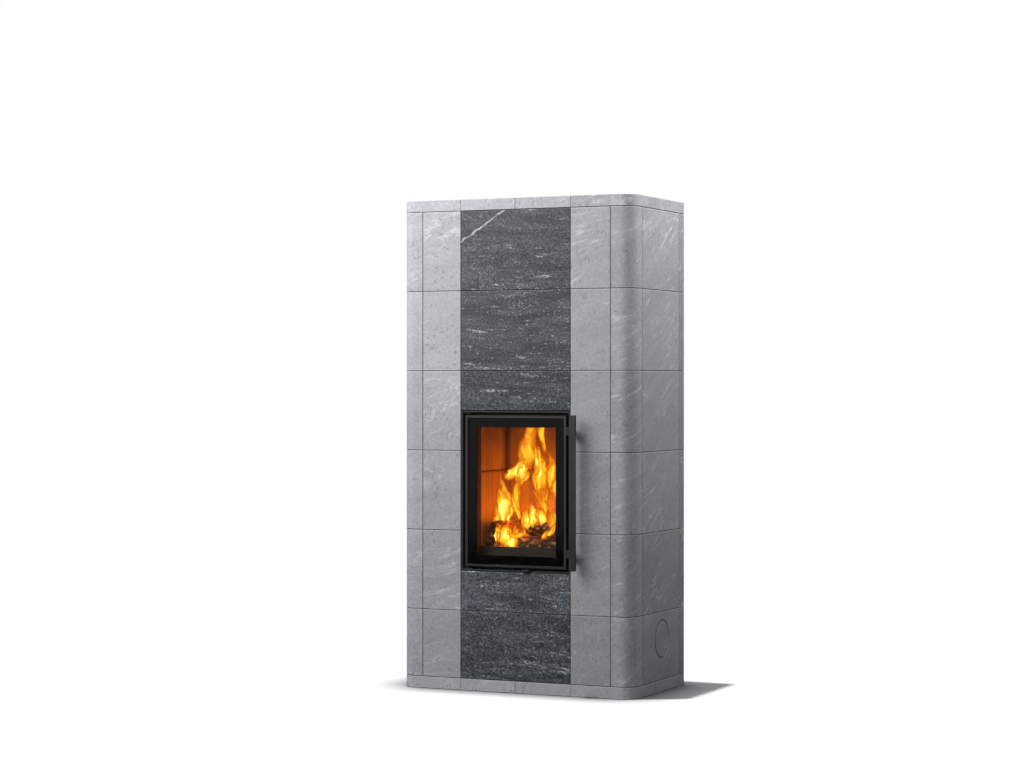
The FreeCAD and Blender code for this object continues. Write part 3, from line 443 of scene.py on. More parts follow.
def coated_steel(name, colour, rough, channel=False):
    """Satin heat-proof paint: fine orange peel, faint clouds and paler edges, partly wear and partly a
    painted highlight.
    """
    graph = Graph(name)
    peel = graph.noise(graph.place, 900.0, 2.0)
    drift = graph.noise(graph.place, 14.0, 4.0, 0.6)
    level = graph.ramp(drift, 0.3, 0.7, 0.88, 1.12)
    tint = graph.shade(colour, level)
    # Paler edges: wear, with a painted highlight.
    tint = graph.paint(tint, [(graph.edges(0.0012), 0.35, (0.11, 0.106, 0.098))])
    gloss = graph.ramp(drift, 0.3, 0.7, rough - 0.05, rough + 0.06)
    if channel:
        tint, gloss = door_channel(graph, tint, gloss)
    graph.set(Base_Color=tint, Roughness=gloss)
    graph.bump(peel, 0.00008, 0.6)
    return graph.material


def door_channel(graph, tint, gloss):
    """A pale grey in the channel round the leaf, painted light in its shade, and soot behind the leaf
    inside its rope.
    """
    x, y, z = graph.split(graph.place)
    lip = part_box("door_surround")[0].y
    low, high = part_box("door_rope_seal")
    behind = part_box("inner_frame")[0].y
    fade = 0.004
    # Painted light: the shaded channel is lifted to a pale grey.
    channel_light = graph.ramp(y, lip + 0.002, lip + 0.004)
    tint = graph.paint(tint, [(channel_light, 0.85, FIBRE_GREY_AND_CHANNEL_LIGHT)])
    gloss = graph.math("MAXIMUM", gloss, graph.times(channel_light, 0.8))
    off_x = graph.absolute(x)
    off_z = graph.absolute(graph.minus(z, (low.z + high.z) / 2))
    half_z = (high.z - low.z) / 2
    inside = graph.times(graph.ramp(off_x, high.x, high.x - fade), graph.ramp(off_z, half_z, half_z - fade))
    soot = graph.times(inside, graph.ramp(y, behind, behind + fade))
    tint = graph.paint(tint, [(soot, 0.95, (0.005, 0.0035, 0.0025))])
    return tint, graph.math("MAXIMUM", gloss, graph.times(soot, 0.95))


def cast_iron(name, colour, rubbed, shine):
    """Sand-cast iron with a coarse skin and rubbed edges."""
    graph = Graph(name)
    skin = graph.noise(graph.place, 380.0, 4.0, 0.65)
    drift = graph.noise(graph.place, 18.0, 4.0, 0.6)
    colour = graph.shade(colour, graph.ramp(drift, 0.3, 0.7, 0.75, 1.3))
    colour = graph.paint(colour, [(graph.edges(0.0015), 0.5, rubbed)])
    rough = graph.ramp(skin, 0.3, 0.7, 0.66, 0.86)
    graph.set(Base_Color=colour, Roughness=rough, Specular_IOR_Level=shine)
    graph.bump(skin, 0.0005, 0.8)
    return graph.material


def bright_steel():
    """Zinc-bright screws, pins and springs with fine draw lines and a straw heat tint."""
    graph = Graph("bright_steel")
    lines = graph.noise(graph.stretch(1800.0, 1800.0, 90.0), 1.0, 2.0)
    heat = graph.noise(graph.place, 60.0, 3.0)
    colour = graph.mix(graph.ramp(heat, 0.45, 0.7), (0.52, 0.51, 0.50), (0.44, 0.37, 0.27))
    graph.set(Base_Color=colour, Metallic=1.0, Roughness=graph.ramp(lines, 0.3, 0.7, 0.26, 0.44))
    graph.bump(lines, 0.00005, 0.5)
    return graph.material


def rope_fibre():
    """Glass-fibre rope: grey yarns, sooted in patches."""
    graph = Graph("rope_fibre")
    yarn = graph.noise(graph.place, 1500.0, 2.0, 0.7)
    drift = graph.noise(graph.place, 45.0, 4.0, 0.6)
    colour = graph.shade(FIBRE_GREY_AND_CHANNEL_LIGHT, graph.ramp(yarn, 0.25, 0.75, 0.65, 1.35))
    colour = graph.mix(graph.ramp(drift, 0.45, 0.65), colour, (0.045, 0.042, 0.038))
    graph.set(Base_Color=colour, Roughness=graph.ramp(yarn, 0.3, 0.7, 0.86, 0.97), Sheen_Weight=0.2)
    graph.bump(yarn, 0.0003, 0.7)
    return graph.material


def grip_wood():
    """Oiled oak: growth lines along the grip, pores, and wear where fingers rub."""
    graph = Graph("grip_wood")
    along = graph.stretch(190.0, 190.0, 9.0)
    rings = graph.noise(along, 1.0, 4.0, 0.6, 0.8)
    pores = graph.noise(along, 7.0, 2.0, 0.6)
    colour = graph.mix(graph.ramp(rings, 0.34, 0.66), (0.34, 0.175, 0.058), (0.175, 0.078, 0.022))
    colour = graph.mix(graph.ramp(pores, 0.60, 0.72), colour, (0.07, 0.03, 0.010))
    colour = graph.paint(colour, [(graph.edges(0.002), 0.4, (0.46, 0.27, 0.11))])
    graph.set(Base_Color=colour, Roughness=graph.ramp(rings, 0.3, 0.7, 0.34, 0.50))
    graph.bump(graph.plus(rings, pores), 0.0002, 0.5)
    return graph.material


def insulation():
    """Pale pressed mineral board with loose fibres."""
    graph = Graph("insulation")
    fibre = graph.noise(graph.stretch(60.0, 420.0, 420.0), 1.0, 4.0, 0.7, 0.6)
    colour = graph.mix(graph.ramp(fibre, 0.35, 0.65), (0.70, 0.66, 0.56), (0.52, 0.47, 0.37))
    graph.set(Base_Color=colour, Roughness=graph.ramp(fibre, 0.3, 0.7, 0.85, 0.97))
    graph.bump(fibre, 0.0008, 0.7)
    return graph.material


def enamel():
    """Black ceramic print on the glass: deep gloss with a trace of wiping marks."""
    graph = Graph("black_enamel")
    wipe = graph.noise(graph.place, 22.0, 4.0, 0.6, 0.8)
    colour = graph.mix(graph.ramp(wipe, 0.3, 0.7), (0.0015, 0.0015, 0.0018), (0.003, 0.003, 0.0034))
    graph.set(Base_Color=colour, Roughness=graph.ramp(wipe, 0.35, 0.75, 0.07, 0.14))
    return graph.material


def clear_glass():
    """Ceramic fire glass: faint amber body and a trace of film."""
    graph = Graph("fire_glass")
    film = graph.noise(graph.place, 26.0, 5.0, 0.65, 0.7)
    colour = graph.mix(graph.ramp(film, 0.35, 0.7), (0.030, 0.022, 0.014), (0.060, 0.050, 0.038))
    graph.set(Base_Color=colour, Roughness=graph.ramp(film, 0.3, 0.7, 0.03, 0.08), Alpha=0.10,
              Specular_IOR_Level=0.15)
    return graph.material


def charred_wood():
    """Burning firewood: cracked char with brown chips that glow faintly as painted firelight, and a few
    embers in the cracks.
    """
    graph = Graph("charred_wood")
    crack, _ = graph.cells(graph.place, 75.0, "DISTANCE_TO_EDGE")
    _, chip_colour = graph.cells(graph.place, 75.0)
    warp = graph.noise(graph.place, 60.0, 4.0, 0.65)
    drift = graph.noise(graph.place, 16.0, 3.0, 0.6)
    pale = graph.times(graph.ramp(graph.split(chip_colour)[0], 0.40, 0.95), graph.ramp(warp, 0.36, 0.60))
    colour = graph.mix(pale, (0.020, 0.011, 0.006), (0.31, 0.14, 0.036))
    colour = graph.mix(graph.ramp(crack, 0.12, 0.02), colour, (0.008, 0.005, 0.003))
    heat = graph.times(graph.ramp(crack, 0.07, 0.01), graph.ramp(drift, 0.54, 0.70))
    # The pale chips glow faintly as painted firelight; the cracks glow as embers.
    glow = graph.mix(pale, (0.010, 0.002, 0.0), (0.150, 0.062, 0.014))
    glow = graph.mix(heat, glow, FIRE_COLOUR)
    graph.set(Base_Color=colour, Roughness=graph.ramp(warp, 0.3, 0.7, 0.8, 0.95), Emission_Color=glow,
              Emission_Strength=1.0)
    graph.bump(graph.plus(graph.ramp(crack, 0.0, 0.14), warp), 0.0030, 0.8)
    return graph.material


def ember():
    """Glowing coals: orange in the gaps, dull red skins and flakes of grey ash."""
    graph = Graph("ember")
    crust = graph.noise(graph.place, 110.0, 4.0, 0.65)
    pool = graph.noise(graph.place, 17.0, 3.0, 0.6)
    colour = graph.mix(graph.ramp(crust, 0.50, 0.66), (0.020, 0.014, 0.011), (0.30, 0.28, 0.26))
    heat = graph.times(graph.ramp(crust, 0.58, 0.40), graph.ramp(pool, 0.40, 0.66))
    glow = graph.mix(heat, (0.06, 0.006, 0.0), (1.0, 0.26, 0.03))
    graph.set(Base_Color=colour, Roughness=graph.ramp(crust, 0.3, 0.7, 0.8, 0.95), Emission_Color=glow,
              Emission_Strength=2.6)
    graph.bump(crust, 0.0020, 0.8)
    return graph.material


def flame(name, gain, foot=0.40, tip=0.30):
    """Flame sheets: a bright heart and curling threads in a body that thins out to its sides and tip."""
    graph = Graph(name)
    sheet = graph.nodes.new("ShaderNodeTexCoord").outputs["UV"]
    across, up, _ = graph.split(sheet)
    shift = graph.times(graph.nodes.new("ShaderNodeObjectInfo").outputs["Random"], 40.0)
    x, y, z = graph.split(graph.place)
    flow = graph.join(x, graph.plus(y, shift), graph.times(z, 0.42))
    curl = graph.nodes.new("ShaderNodeTexNoise")
    graph.put(curl.inputs["Vector"], flow)
    curl.inputs["Scale"].default_value = 13.0
    curl.inputs["Detail"].default_value = 1.5
    bend = graph.vector("SUBTRACT", curl.outputs["Color"], (0.5, 0.5, 0.5))
    flow = graph.vector("ADD", flow, graph.vector("MULTIPLY", bend, (0.085, 0.0, 0.085)))
    fill = graph.ramp(graph.noise(flow, 14.0, 3.0, 0.5), 0.34, 0.66)
    thread = graph.absolute(graph.minus(graph.noise(flow, 17.0, 2.0, 0.5), 0.5))
    thread = graph.ramp(thread, 0.095, 0.0)
    hair = graph.absolute(graph.minus(graph.noise(flow, 44.0, 2.0, 0.5), 0.5))
    hair = graph.ramp(hair, 0.070, 0.0)
    side = graph.absolute(graph.minus(graph.times(across, 2.0), 1.0))
    body = graph.times(graph.ramp(side, 1.0, 0.10), graph.ramp(up, 1.0, tip))
    body = graph.times(body, graph.ramp(up, 0.0, foot))
    stir = graph.plus(graph.times(fill, 0.48), graph.times(thread, 0.40))
    stir = graph.plus(stir, graph.times(hair, 0.12))
    heat = graph.plus(body, graph.times(stir, 0.85))
    heat = graph.times(graph.minus(heat, 0.66), gain)
    glow = graph.mix(graph.ramp(heat, 0.03, 0.34), (0.42, 0.046, 0.0005), (0.98, 0.225, 0.003))
    glow = graph.mix(graph.ramp(heat, 0.34, 0.72), glow, (1.50, 0.78, 0.030))
    glow = graph.mix(graph.ramp(heat, 0.72, 1.05), glow, (2.10, 1.70, 0.30))
    alpha = graph.ramp(heat, 0.0, 0.46)
    graph.set(Base_Color=(0.0, 0.0, 0.0, 1.0), Roughness=1.0, Specular_IOR_Level=0.0, Emission_Color=glow,
              Emission_Strength=1.0, Alpha=alpha)
    graph.material.cycles.emission_sampling = "NONE"
    return graph.material


PAINT = (0.0215, 0.0208, 0.0193)
# Each dark stone's own tone, with painted light and shade for where it stands in the light.
DARK_TONE_AND_SHADE = {"accent_stone_high": 0.88, "accent_stone_middle": 0.88, "lintel_stone": 0.78,
              "sill_stone": 1.30, "accent_stone_low": 1.08}
# Painted shade and light: darker and lighter copies of the light stone for where each stands in the light.
RIGHT_SHADE = {"right_front_stones": 0.91, "right_corner_stones": 0.96, "right_side_stones": 0.90,
               "right_rear_stones": 0.80}
HATCH_SHADE = 0.92
BASE_LIGHT = 1.20


def dress_nodes():
    """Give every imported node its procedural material."""
    finishes = {
        "soapstone_light": light_stone("soapstone_light"),
        "core_stone": core_stone(),
        "black_steel": coated_steel("black_steel", PAINT, 0.44),
        "cast_iron": cast_iron("cast_iron", (0.030, 0.028, 0.026), (0.08, 0.075, 0.07), 0.6),
        "fire_glass": clear_glass(),
        "rope_seal": rope_fibre(),
        "grip_wood": grip_wood(),
        "insulation": insulation(),
        "bright_steel": bright_steel(),
    }
    base_stone = light_stone("soapstone_base", slabs=True, light_and_shade=BASE_LIGHT)
    slab_stone = light_stone("soapstone_slab", slabs=True)
    blackened = coated_steel("blackened_steel", (0.010, 0.010, 0.010), 0.60)
    own = {"base_slabs": base_stone, "top_slabs": slab_stone,
           "surround_screws": blackened, "hinge_pins": blackened,
           "inner_frame": cast_iron("sooted_iron", (0.008, 0.006, 0.005), (0.03, 0.027, 0.025), 0.15),
           "door_surround": coated_steel("surround_steel", PAINT, 0.44, channel=True),
           "log_guard": coated_steel("guard_steel", (0.0165, 0.0125, 0.0070), 0.55)}
    for stone, tone_and_shade in DARK_TONE_AND_SHADE.items():
        own[stone] = dark_stone(f"soapstone_dark_{stone}", tone_and_shade, vein=stone == "accent_stone_high")
    for stone, tone_and_shade in RIGHT_SHADE.items():
        own[stone] = light_stone(f"soapstone_{stone}", light_and_shade=tone_and_shade)
    for side in ("right", "left"):
        plug = f"{side}_soot_plug"
        own[plug] = light_stone(f"soapstone_{side}_plug", plug=plug, light_and_shade=HATCH_SHADE)
        own[f"{side}_hatch_stone"] = own[plug]
    for part in record["subparts"]:
        node = part["node"]
        thing = frame["nodes"][node]
        for slot in thing.material_slots:
            slot.material = own[node] if node in own else finishes[part["material_slot"]]
    return finishes


finish = dress_nodes()


# Pieces

def new_piece(name, points, faces, materials, body):
    """A mesh piece that rides on a body and may take one of the record's slots."""
    mesh = bpy.data.meshes.new(name)
    mesh.from_pydata(points, [], faces)
    for material in materials:
        mesh.materials.append(material)
    mesh.validate()
    piece = bpy.data.objects.new(name, mesh)
    bpy.context.scene.collection.objects.link(piece)
    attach(piece, body)
    return piece


def smooth(piece):
    """Shade a piece's faces smoothly."""
    for face in piece.data.polygons:
        face.use_smooth = True
    return piece


BORDER_SIDE = 0.036
BORDER_LOW = 0.0345
BORDER_HIGH = 0.0364
GLASS_ARRIS = 0.0006


def glass():
    """The pane: ground edges, a printed black border and the clear window."""
    low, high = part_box("glass_pane")

    def loop(side, bottom, top, y):
        return [(low.x + side, y, low.z + bottom), (high.x - side, y, low.z + bottom),
                (high.x - side, y, high.z - top), (low.x + side, y, high.z - top)]

    window = (BORDER_SIDE, BORDER_LOW, BORDER_HIGH)
    edge = (GLASS_ARRIS, GLASS_ARRIS, GLASS_ARRIS)
    loops = [loop(*window, low.y), loop(*edge, low.y), loop(0, 0, 0, low.y + GLASS_ARRIS),
             loop(0, 0, 0, high.y - GLASS_ARRIS), loop(*edge, high.y), loop(*window, high.y)]
    points = [point for ring in loops for point in ring]
    faces = []
    for ring in range(len(loops) - 1):
        for corner in range(4):
            following = (corner + 1) % 4
            faces.append((4 * ring + corner, 4 * ring + 4 + corner, 4 * ring + 4 + following,
                          4 * ring + following))
    last = 4 * (len(loops) - 1)
    faces.append((0, 1, 2, 3))
    faces.append((last + 3, last + 2, last + 1, last))
    pane = new_piece("glass_window", points, faces, [enamel(), finish["fire_glass"]], "door")
    for face in pane.data.polygons[-2:]:
        face.material_index = 1
    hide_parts("glass_pane")


ROPE_STEP = 0.0022
ROPE_SIDES = 16
ROPE_STRANDS = 4
ROPE_WEAVE = 0.06
ROPE_SQUARE = 0.6


def squared(share):
    """A share of a round rope's half width, pressed towards a square."""
    return math.copysign(abs(share) ** ROPE_SQUARE, share)


def rope_ring(name, node, width, body, braid, corner):
    """A woven rope or tape laid round a rectangle, in the space of its node."""
    low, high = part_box(node)
    half_width = width / 2
    half_depth = (high.y - low.y) / 2
    middle = (low.y + high.y) / 2
    inner = Vector((low.x + half_width + corner, 0, low.z + half_width + corner))
    outer = Vector((high.x - half_width - corner, 0, high.z - half_width - corner))
    path = []

    def run(start, end):
        count = max(2, round((end - start).length / ROPE_STEP))
        for index in range(count):
            path.append(start.lerp(end, index / count))

    def turn(centre, first_angle):
        count = max(4, round(corner * math.pi / 2 / ROPE_STEP))
        for index in range(count):
            angle = first_angle + math.pi / 2 * index / count
            path.append(centre + Vector((math.cos(angle), 0, math.sin(angle))) * corner)

    corners = [Vector((outer.x, 0, outer.z)), Vector((inner.x, 0, outer.z)),
               Vector((inner.x, 0, inner.z)), Vector((outer.x, 0, inner.z))]
    for index, centre in enumerate(corners):
        first_angle = index * math.pi / 2
        turn(centre, first_angle)
        end = first_angle + math.pi / 2
        out = Vector((math.cos(end), 0, math.sin(end))) * corner
        run(centre + out, corners[(index + 1) % 4] + out)
    points = []
    total = len(path)
    for index, place in enumerate(path):
        ahead = path[(index + 1) % total] - path[index - 1]
        ahead.normalize()
        outward = Vector((ahead.z, 0, -ahead.x))
        travel = 2 * math.pi * index * ROPE_STEP / braid
        for side in range(ROPE_SIDES):
            angle = 2 * math.pi * side / ROPE_SIDES
            strand = ROPE_STRANDS * angle
            weave = max(math.cos(strand + travel), math.cos(strand - travel))
            swell = 1 - ROPE_WEAVE + ROPE_WEAVE * weave
            across = squared(math.cos(angle)) * half_width * swell
            deep = squared(math.sin(angle)) * half_depth * swell
            points.append(place + outward * across + Vector((0, middle + deep, 0)))
    faces = []
    for index in range(total):
        here = index * ROPE_SIDES
        following = (index + 1) % total * ROPE_SIDES
        for side in range(ROPE_SIDES):
            beside = (side + 1) % ROPE_SIDES
            faces.append((here + side, here + beside, following + beside, following + side))
    piece = smooth(new_piece(name, points, faces, [finish["rope_seal"]], body))
    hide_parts(node)


# Fire

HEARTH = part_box("grate")[1].z
BED_HALF = 0.150
BED_FRONT = -0.150
BED_REAR = 0.020
COALS = 210
COAL_RADIUS = (0.007, 0.0135)
COAL_FLAT = 0.75
HEAP = 0.022
HEAP_HALF = 0.17
HEAP_MIDDLE = -0.06
HEAP_DEEP = 0.13
COALS_DEEP = 0.018
LOG_SAG = 0.004
LOG_RAGGED = 0.006
TONGUE_FLAT = 0.30
THREAD_FLAT = 0.5


def wrap(rings, sides):
    """Faces round a stack of point rings; the points that close its two ends come last."""
    faces = []
    for side in range(sides):
        beside = (side + 1) % sides
        for ring in range(0, (rings - 1) * sides, sides):
            faces.append((ring + side, ring + beside, ring + sides + beside, ring + sides + side))
        top = (rings - 1) * sides
        faces.append((beside, side, rings * sides))
        faces.append((top + side, top + beside, rings * sides + 1))
    return faces


def coal(centre, radius, seed):
    """Points and faces of one broken coal."""
    rings, sides = 4, 8

    def surface(polar, around):
        out = math.sin(polar)
        way = Vector((out * math.cos(around), out * math.sin(around), -math.cos(polar)))
        swell = 0.80 + 0.275 * noise.cell(way * 1.7 + Vector((seed, seed * 0.37, 0)))
        swell += 0.25 * noise.noise(way * 1.3 + Vector((0, seed, seed)))
        return centre + Vector((way.x, way.y, way.z * COAL_FLAT)) * radius * swell

    points = [surface(math.pi * (ring + 1) / (rings + 1), 2 * math.pi * side / sides)
              for ring in range(rings) for side in range(sides)]
    points += [surface(0.0, 0.0), surface(math.pi, 0.0)]
    return points, wrap(rings, sides)


def ember_bed():
    """A heap of coals on the grate, higher in the middle."""
    dice = random.Random(11)
    points, faces = [], []
    for number in range(COALS):
        x = dice.uniform(-BED_HALF, BED_HALF)
        y = dice.uniform(BED_FRONT, BED_REAR)
        radius = dice.uniform(*COAL_RADIUS)
        heap = HEAP * (1 - (x / HEAP_HALF) ** 2) * (1 - ((y - HEAP_MIDDLE) / HEAP_DEEP) ** 2)
        z = HEARTH + radius * 0.8 + max(0.0, heap) * dice.uniform(0.2, 1.0)
        more_points, more_faces = coal(Vector((x, y, z)), radius, number * 3.1)
        faces += [tuple(corner + len(points) for corner in face) for face in more_faces]
        points += more_points
    new_piece("embers", points, faces, [ember()], "grate")


def log(name, start, end, radius, split, seed, material):
    """A split log: round bark on one side, rough riven faces on the other, and ragged ends."""
    axis = (end - start).normalized()
    side_way = Vector((0, 0, 1)).cross(axis).normalized()
    up_way = axis.cross(side_way)
    rings, sides = 41, 36
    points = []
    for ring in range(rings):
        share = ring / (rings - 1)
        centre = start.lerp(end, share) + up_way * LOG_SAG * math.sin(share * math.pi + seed)
        for side in range(sides):
            angle = 2 * math.pi * side / sides
            turn_x = math.cos(angle)
            turn_y = math.sin(angle)
            facet = 1.0
            for riven in split:
                facet = min(facet, 0.50 / max(0.30, math.cos(angle - riven)))
            rough = 0.07 * noise.noise(Vector((turn_x * 2.4, turn_y * 2.4, share * 3 + seed)))
            groove = 0.035 * noise.noise(Vector((turn_x * 9, turn_y * 9, share * 5 + seed)))
            way = side_way * turn_x + up_way * turn_y
            point = centre + way * radius * (facet + rough + groove)
            if ring in (0, rings - 1):
                point += axis * LOG_RAGGED * noise.noise(way * 3 + Vector((seed, 0, 0)))
            points.append(point)
    points += [start, end]
    smooth(new_piece(name, points, wrap(rings, sides), [material], "grate"))


def logs():
    """Five burning logs, two stacked at each side and one across the rear.

    Each has its two ends across, back and above the coals, radius, riven faces and seed.
    """
    char = charred_wood()
    base = HEARTH + COALS_DEEP
    places = [
        ("log_low", (-0.030, -0.124, 0.026), (0.140, -0.108, 0.030), 0.032, (0.4, 2.2), 1.0),
        ("log_high", (-0.020, -0.082, 0.077), (0.132, -0.112, 0.074), 0.030, (4.2, 0.9), 6.1),
        ("log_left", (-0.132, -0.142, 0.028), (-0.112, -0.050, 0.044), 0.030, (5.0, 2.9), 4.4),
        ("log_upper", (-0.131, -0.146, 0.077), (-0.098, -0.050, 0.088), 0.025, (3.4, 0.6), 7.3),
        ("log_rear", (-0.130, -0.024, 0.030), (0.125, -0.014, 0.034), 0.034, (1.4, 3.6), 2.7),
    ]
    for name, start, end, radius, split, seed in places:
        ends = [Vector((x, y, base + rise)) for x, y, rise in (start, end)]
        log(name, *ends, radius, split, seed, char)


def flame_piece(name, stack, ends, material, sides):
    """A fire mesh round a stack of ovals, with places across and up; it casts no light or shadow."""
    points, sheet = [], []
    for share, centre, half_width, half_depth in stack:
        for side in range(sides):
            angle = 2 * math.pi * side / sides
            points.append(centre + half_width * math.cos(angle) + half_depth * math.sin(angle))
            sheet.append((0.5 + 0.5 * math.cos(angle), share))
    points += ends
    sheet += [(0.5, 0.0), (0.5, 1.0)]
    piece = smooth(new_piece(name, points, wrap(len(stack), sides), [material], "grate"))
    layer = piece.data.uv_layers.new(name="sheet")
    for loop in piece.data.loops:
        layer.data[loop.index].uv = sheet[loop.vertex_index]
    piece.visible_diffuse = False
    piece.visible_shadow = False


def flame_tongue(name, foot, height, width, lean, sway, phase, turn, shape, material):
    """A flat tongue along a swaying spine; its shape says which stretch of a sine gives the width."""
    rings = 30

    def spine(share):
        drift = sway * math.sin(2.1 * math.pi * share + phase) * share ** 0.8
        waver = 0.4 * sway * math.sin(3 * share + phase * 1.7)
        return foot + Vector((lean * share + drift, waver, height * share))

    start, end = shape
    stack = []
    for ring in range(rings):
        share = ring / rings
        swell = math.sin(math.pi * (start + (end - start) * share ** 0.85))
        reach = width / 2 * swell * (1 + 0.16 * math.sin(9 * share + phase * 2))
        spin = turn + 0.7 * math.sin(2.4 * share + phase)
        way = Vector((math.cos(spin), math.sin(spin), 0))
        face_way = Vector((-math.sin(spin), math.cos(spin), 0))
        stack.append((share, spine(share), way * reach, face_way * reach * TONGUE_FLAT))
    flame_piece(name, stack, [spine(0.0), spine(1.0)], material, sides=16)


def flame_thread(name, knots, width, material):
    """A thin rope of fire along a smooth path through its knots."""
    rings = 40
    places = [Vector((x, y, HEARTH + rise)) for x, y, rise in knots]
    last = len(places) - 1

    def spine(share):
        index = min(int(share * last), last - 1)
        part = share * last - index
        before, here, ahead, after = [places[min(max(index + step, 0), last)] for step in (-1, 0, 1, 2)]
        slope = (ahead - before) * part
        swing = (before * 2 - here * 5 + ahead * 4 - after) * part ** 2
        twist = (here * 3 - before - ahead * 3 + after) * part ** 3
        return here + (slope + swing + twist) / 2

    stack = []
    for ring in range(rings):
        share = (ring + 0.5) / rings
        along = spine(share + 0.5 / rings) - spine(share - 0.5 / rings)
        way = Vector((0, 1, 0)).cross(along).normalized()
        face_way = along.normalized().cross(way)
        reach = width / 2 * math.sin(math.pi * share) ** 0.6
        stack.append((share, spine(share), way * reach, face_way * reach * THREAD_FLAT))
    flame_piece(name, stack, [spine(0.0), spine(1.0)], material, sides=10)


SPINDLE = (0.06, 1.0)
BLUNT = (0.06, 0.72)

# Each thread's width, and its knots across, back and above the hearth
THREADS = [
    (0.024, [(-0.066, -0.100, 0.252), (-0.071, -0.100, 0.209), (-0.060, -0.100, 0.167),
             (-0.036, -0.100, 0.122), (-0.029, -0.100, 0.099)]),
    (0.022, [(-0.010, -0.086, 0.290), (0.000, -0.086, 0.237), (0.023, -0.086, 0.200),
             (0.045, -0.086, 0.196), (0.057, -0.086, 0.235), (0.061, -0.086, 0.278)]),
    (0.022, [(0.045, -0.100, 0.209), (0.054, -0.100, 0.171), (0.049, -0.100, 0.124)]),
    (0.030, [(-0.095, -0.140, 0.135), (-0.079, -0.140, 0.099), (-0.053, -0.140, 0.075),
             (-0.023, -0.140, 0.078), (-0.013, -0.140, 0.096), (-0.031, -0.140, 0.135)]),
    (0.024, [(-0.134, -0.142, 0.141), (-0.119, -0.142, 0.101), (-0.093, -0.142, 0.085),
             (-0.059, -0.142, 0.071)]),
    (0.024, [(0.065, -0.146, 0.077), (0.089, -0.146, 0.084), (0.105, -0.146, 0.107),
             (0.113, -0.146, 0.154)]),
]


def flames():
    """Fire. A tongue has its place across and back, foot above the hearth, height, width and lean."""
    hot = flame("flame_hot", 1.25, tip=0.40)
    middling = flame("flame", 0.88)
    tall = flame("flame_tall", 0.80, tip=0.85)
    dice = random.Random(5)
    left = [(-0.110, -0.100, 0.050, 0.265, 0.080, 0.004), (-0.138, -0.108, 0.030, 0.190, 0.052, 0.010)]
    blob = [(-0.108, -0.070, 0.246, 0.120, 0.094, 0.070), (-0.070, -0.058, 0.230, 0.150, 0.070, 0.026)]
    column = [(-0.036, -0.056, 0.270, 0.205, 0.094, 0.008), (0.024, -0.054, 0.330, 0.145, 0.036, -0.004)]
    right = [(0.028, -0.078, 0.165, 0.305, 0.090, -0.006), (0.068, -0.076, 0.200, 0.210, 0.066, -0.004)]
    strand = [(-0.064, -0.094, 0.090, 0.250, 0.050, 0.012), (0.046, -0.092, 0.110, 0.190, 0.048, -0.008),
              (0.080, -0.060, 0.130, 0.230, 0.064, 0.000), (0.066, -0.134, 0.054, 0.070, 0.036, 0.006)]
    over = [(-0.020, -0.110, 0.075, 0.115, 0.062, 0.008), (0.014, -0.116, 0.082, 0.135, 0.058, 0.004),
            (0.053, -0.112, 0.086, 0.115, 0.062, -0.006), (0.090, -0.120, 0.050, 0.170, 0.062, 0.004)]
    base = [(-0.124, -0.136, 0.000, 0.160, 0.060, -0.008), (-0.092, -0.132, -0.004, 0.165, 0.080, 0.006),
            (-0.060, -0.136, -0.004, 0.140, 0.070, 0.010)]
    groups = [("flame_left", left, SPINDLE, hot), ("flame_blob", blob, SPINDLE, hot),
              ("flame_column", column, BLUNT, tall), ("flame_right", right, SPINDLE, hot),
              ("flame_strand", strand, SPINDLE, middling),
              ("flame_over", over, SPINDLE, hot), ("flame_base", base, SPINDLE, hot)]
    for label, group, shape, material in groups:
        for number, (x, y, rise, height, width, lean) in enumerate(group, start=1):
            foot = Vector((x, y, HEARTH + max(rise, 0.002)))
            sway = dice.uniform(0.006, 0.012)
            phase = dice.uniform(0, 2 * math.pi)
            turn = dice.uniform(0.0, 0.5)
            flame_tongue(f"{label}_{number}", foot, height, width, lean, sway, phase, turn, shape, material)
    bright = flame("flame_thread", 0.90, foot=0.38, tip=0.55)
    for number, (width, knots) in enumerate(THREADS, start=1):
        flame_thread(f"flame_thread_{number}", knots, width, bright)


glass()
rope_ring("door_rope", "door_rope_seal", width=0.010, body="door", braid=0.013, corner=0.006)
rope_ring("glass_tape_weave", "glass_tape", width=0.0035, body="door", braid=0.006, corner=0.004)
rope_ring("surround_tape", "surround_seal_ring", width=0.0020, body="heater_body", braid=0.006,
          corner=0.004)
rope_ring("throat_tape", "throat_seal", width=0.020, body="heater_body", braid=0.014, corner=0.012)
ember_bed()
logs()
flames()


# Studio

FLOOR_HALF = 8.0
SHELTER_REACH = 0.175
SHELTER_GAIN = 1.6
PAPER = (0.80, 0.80, 0.80)
PAPER_BOUNCE = (0.20, 0.20, 0.20)
SHADE_LEVEL = 0.225
SUN_FALL = (0.162, 0.092, -1.72)
AIM = (0, -0.1, 1.1)


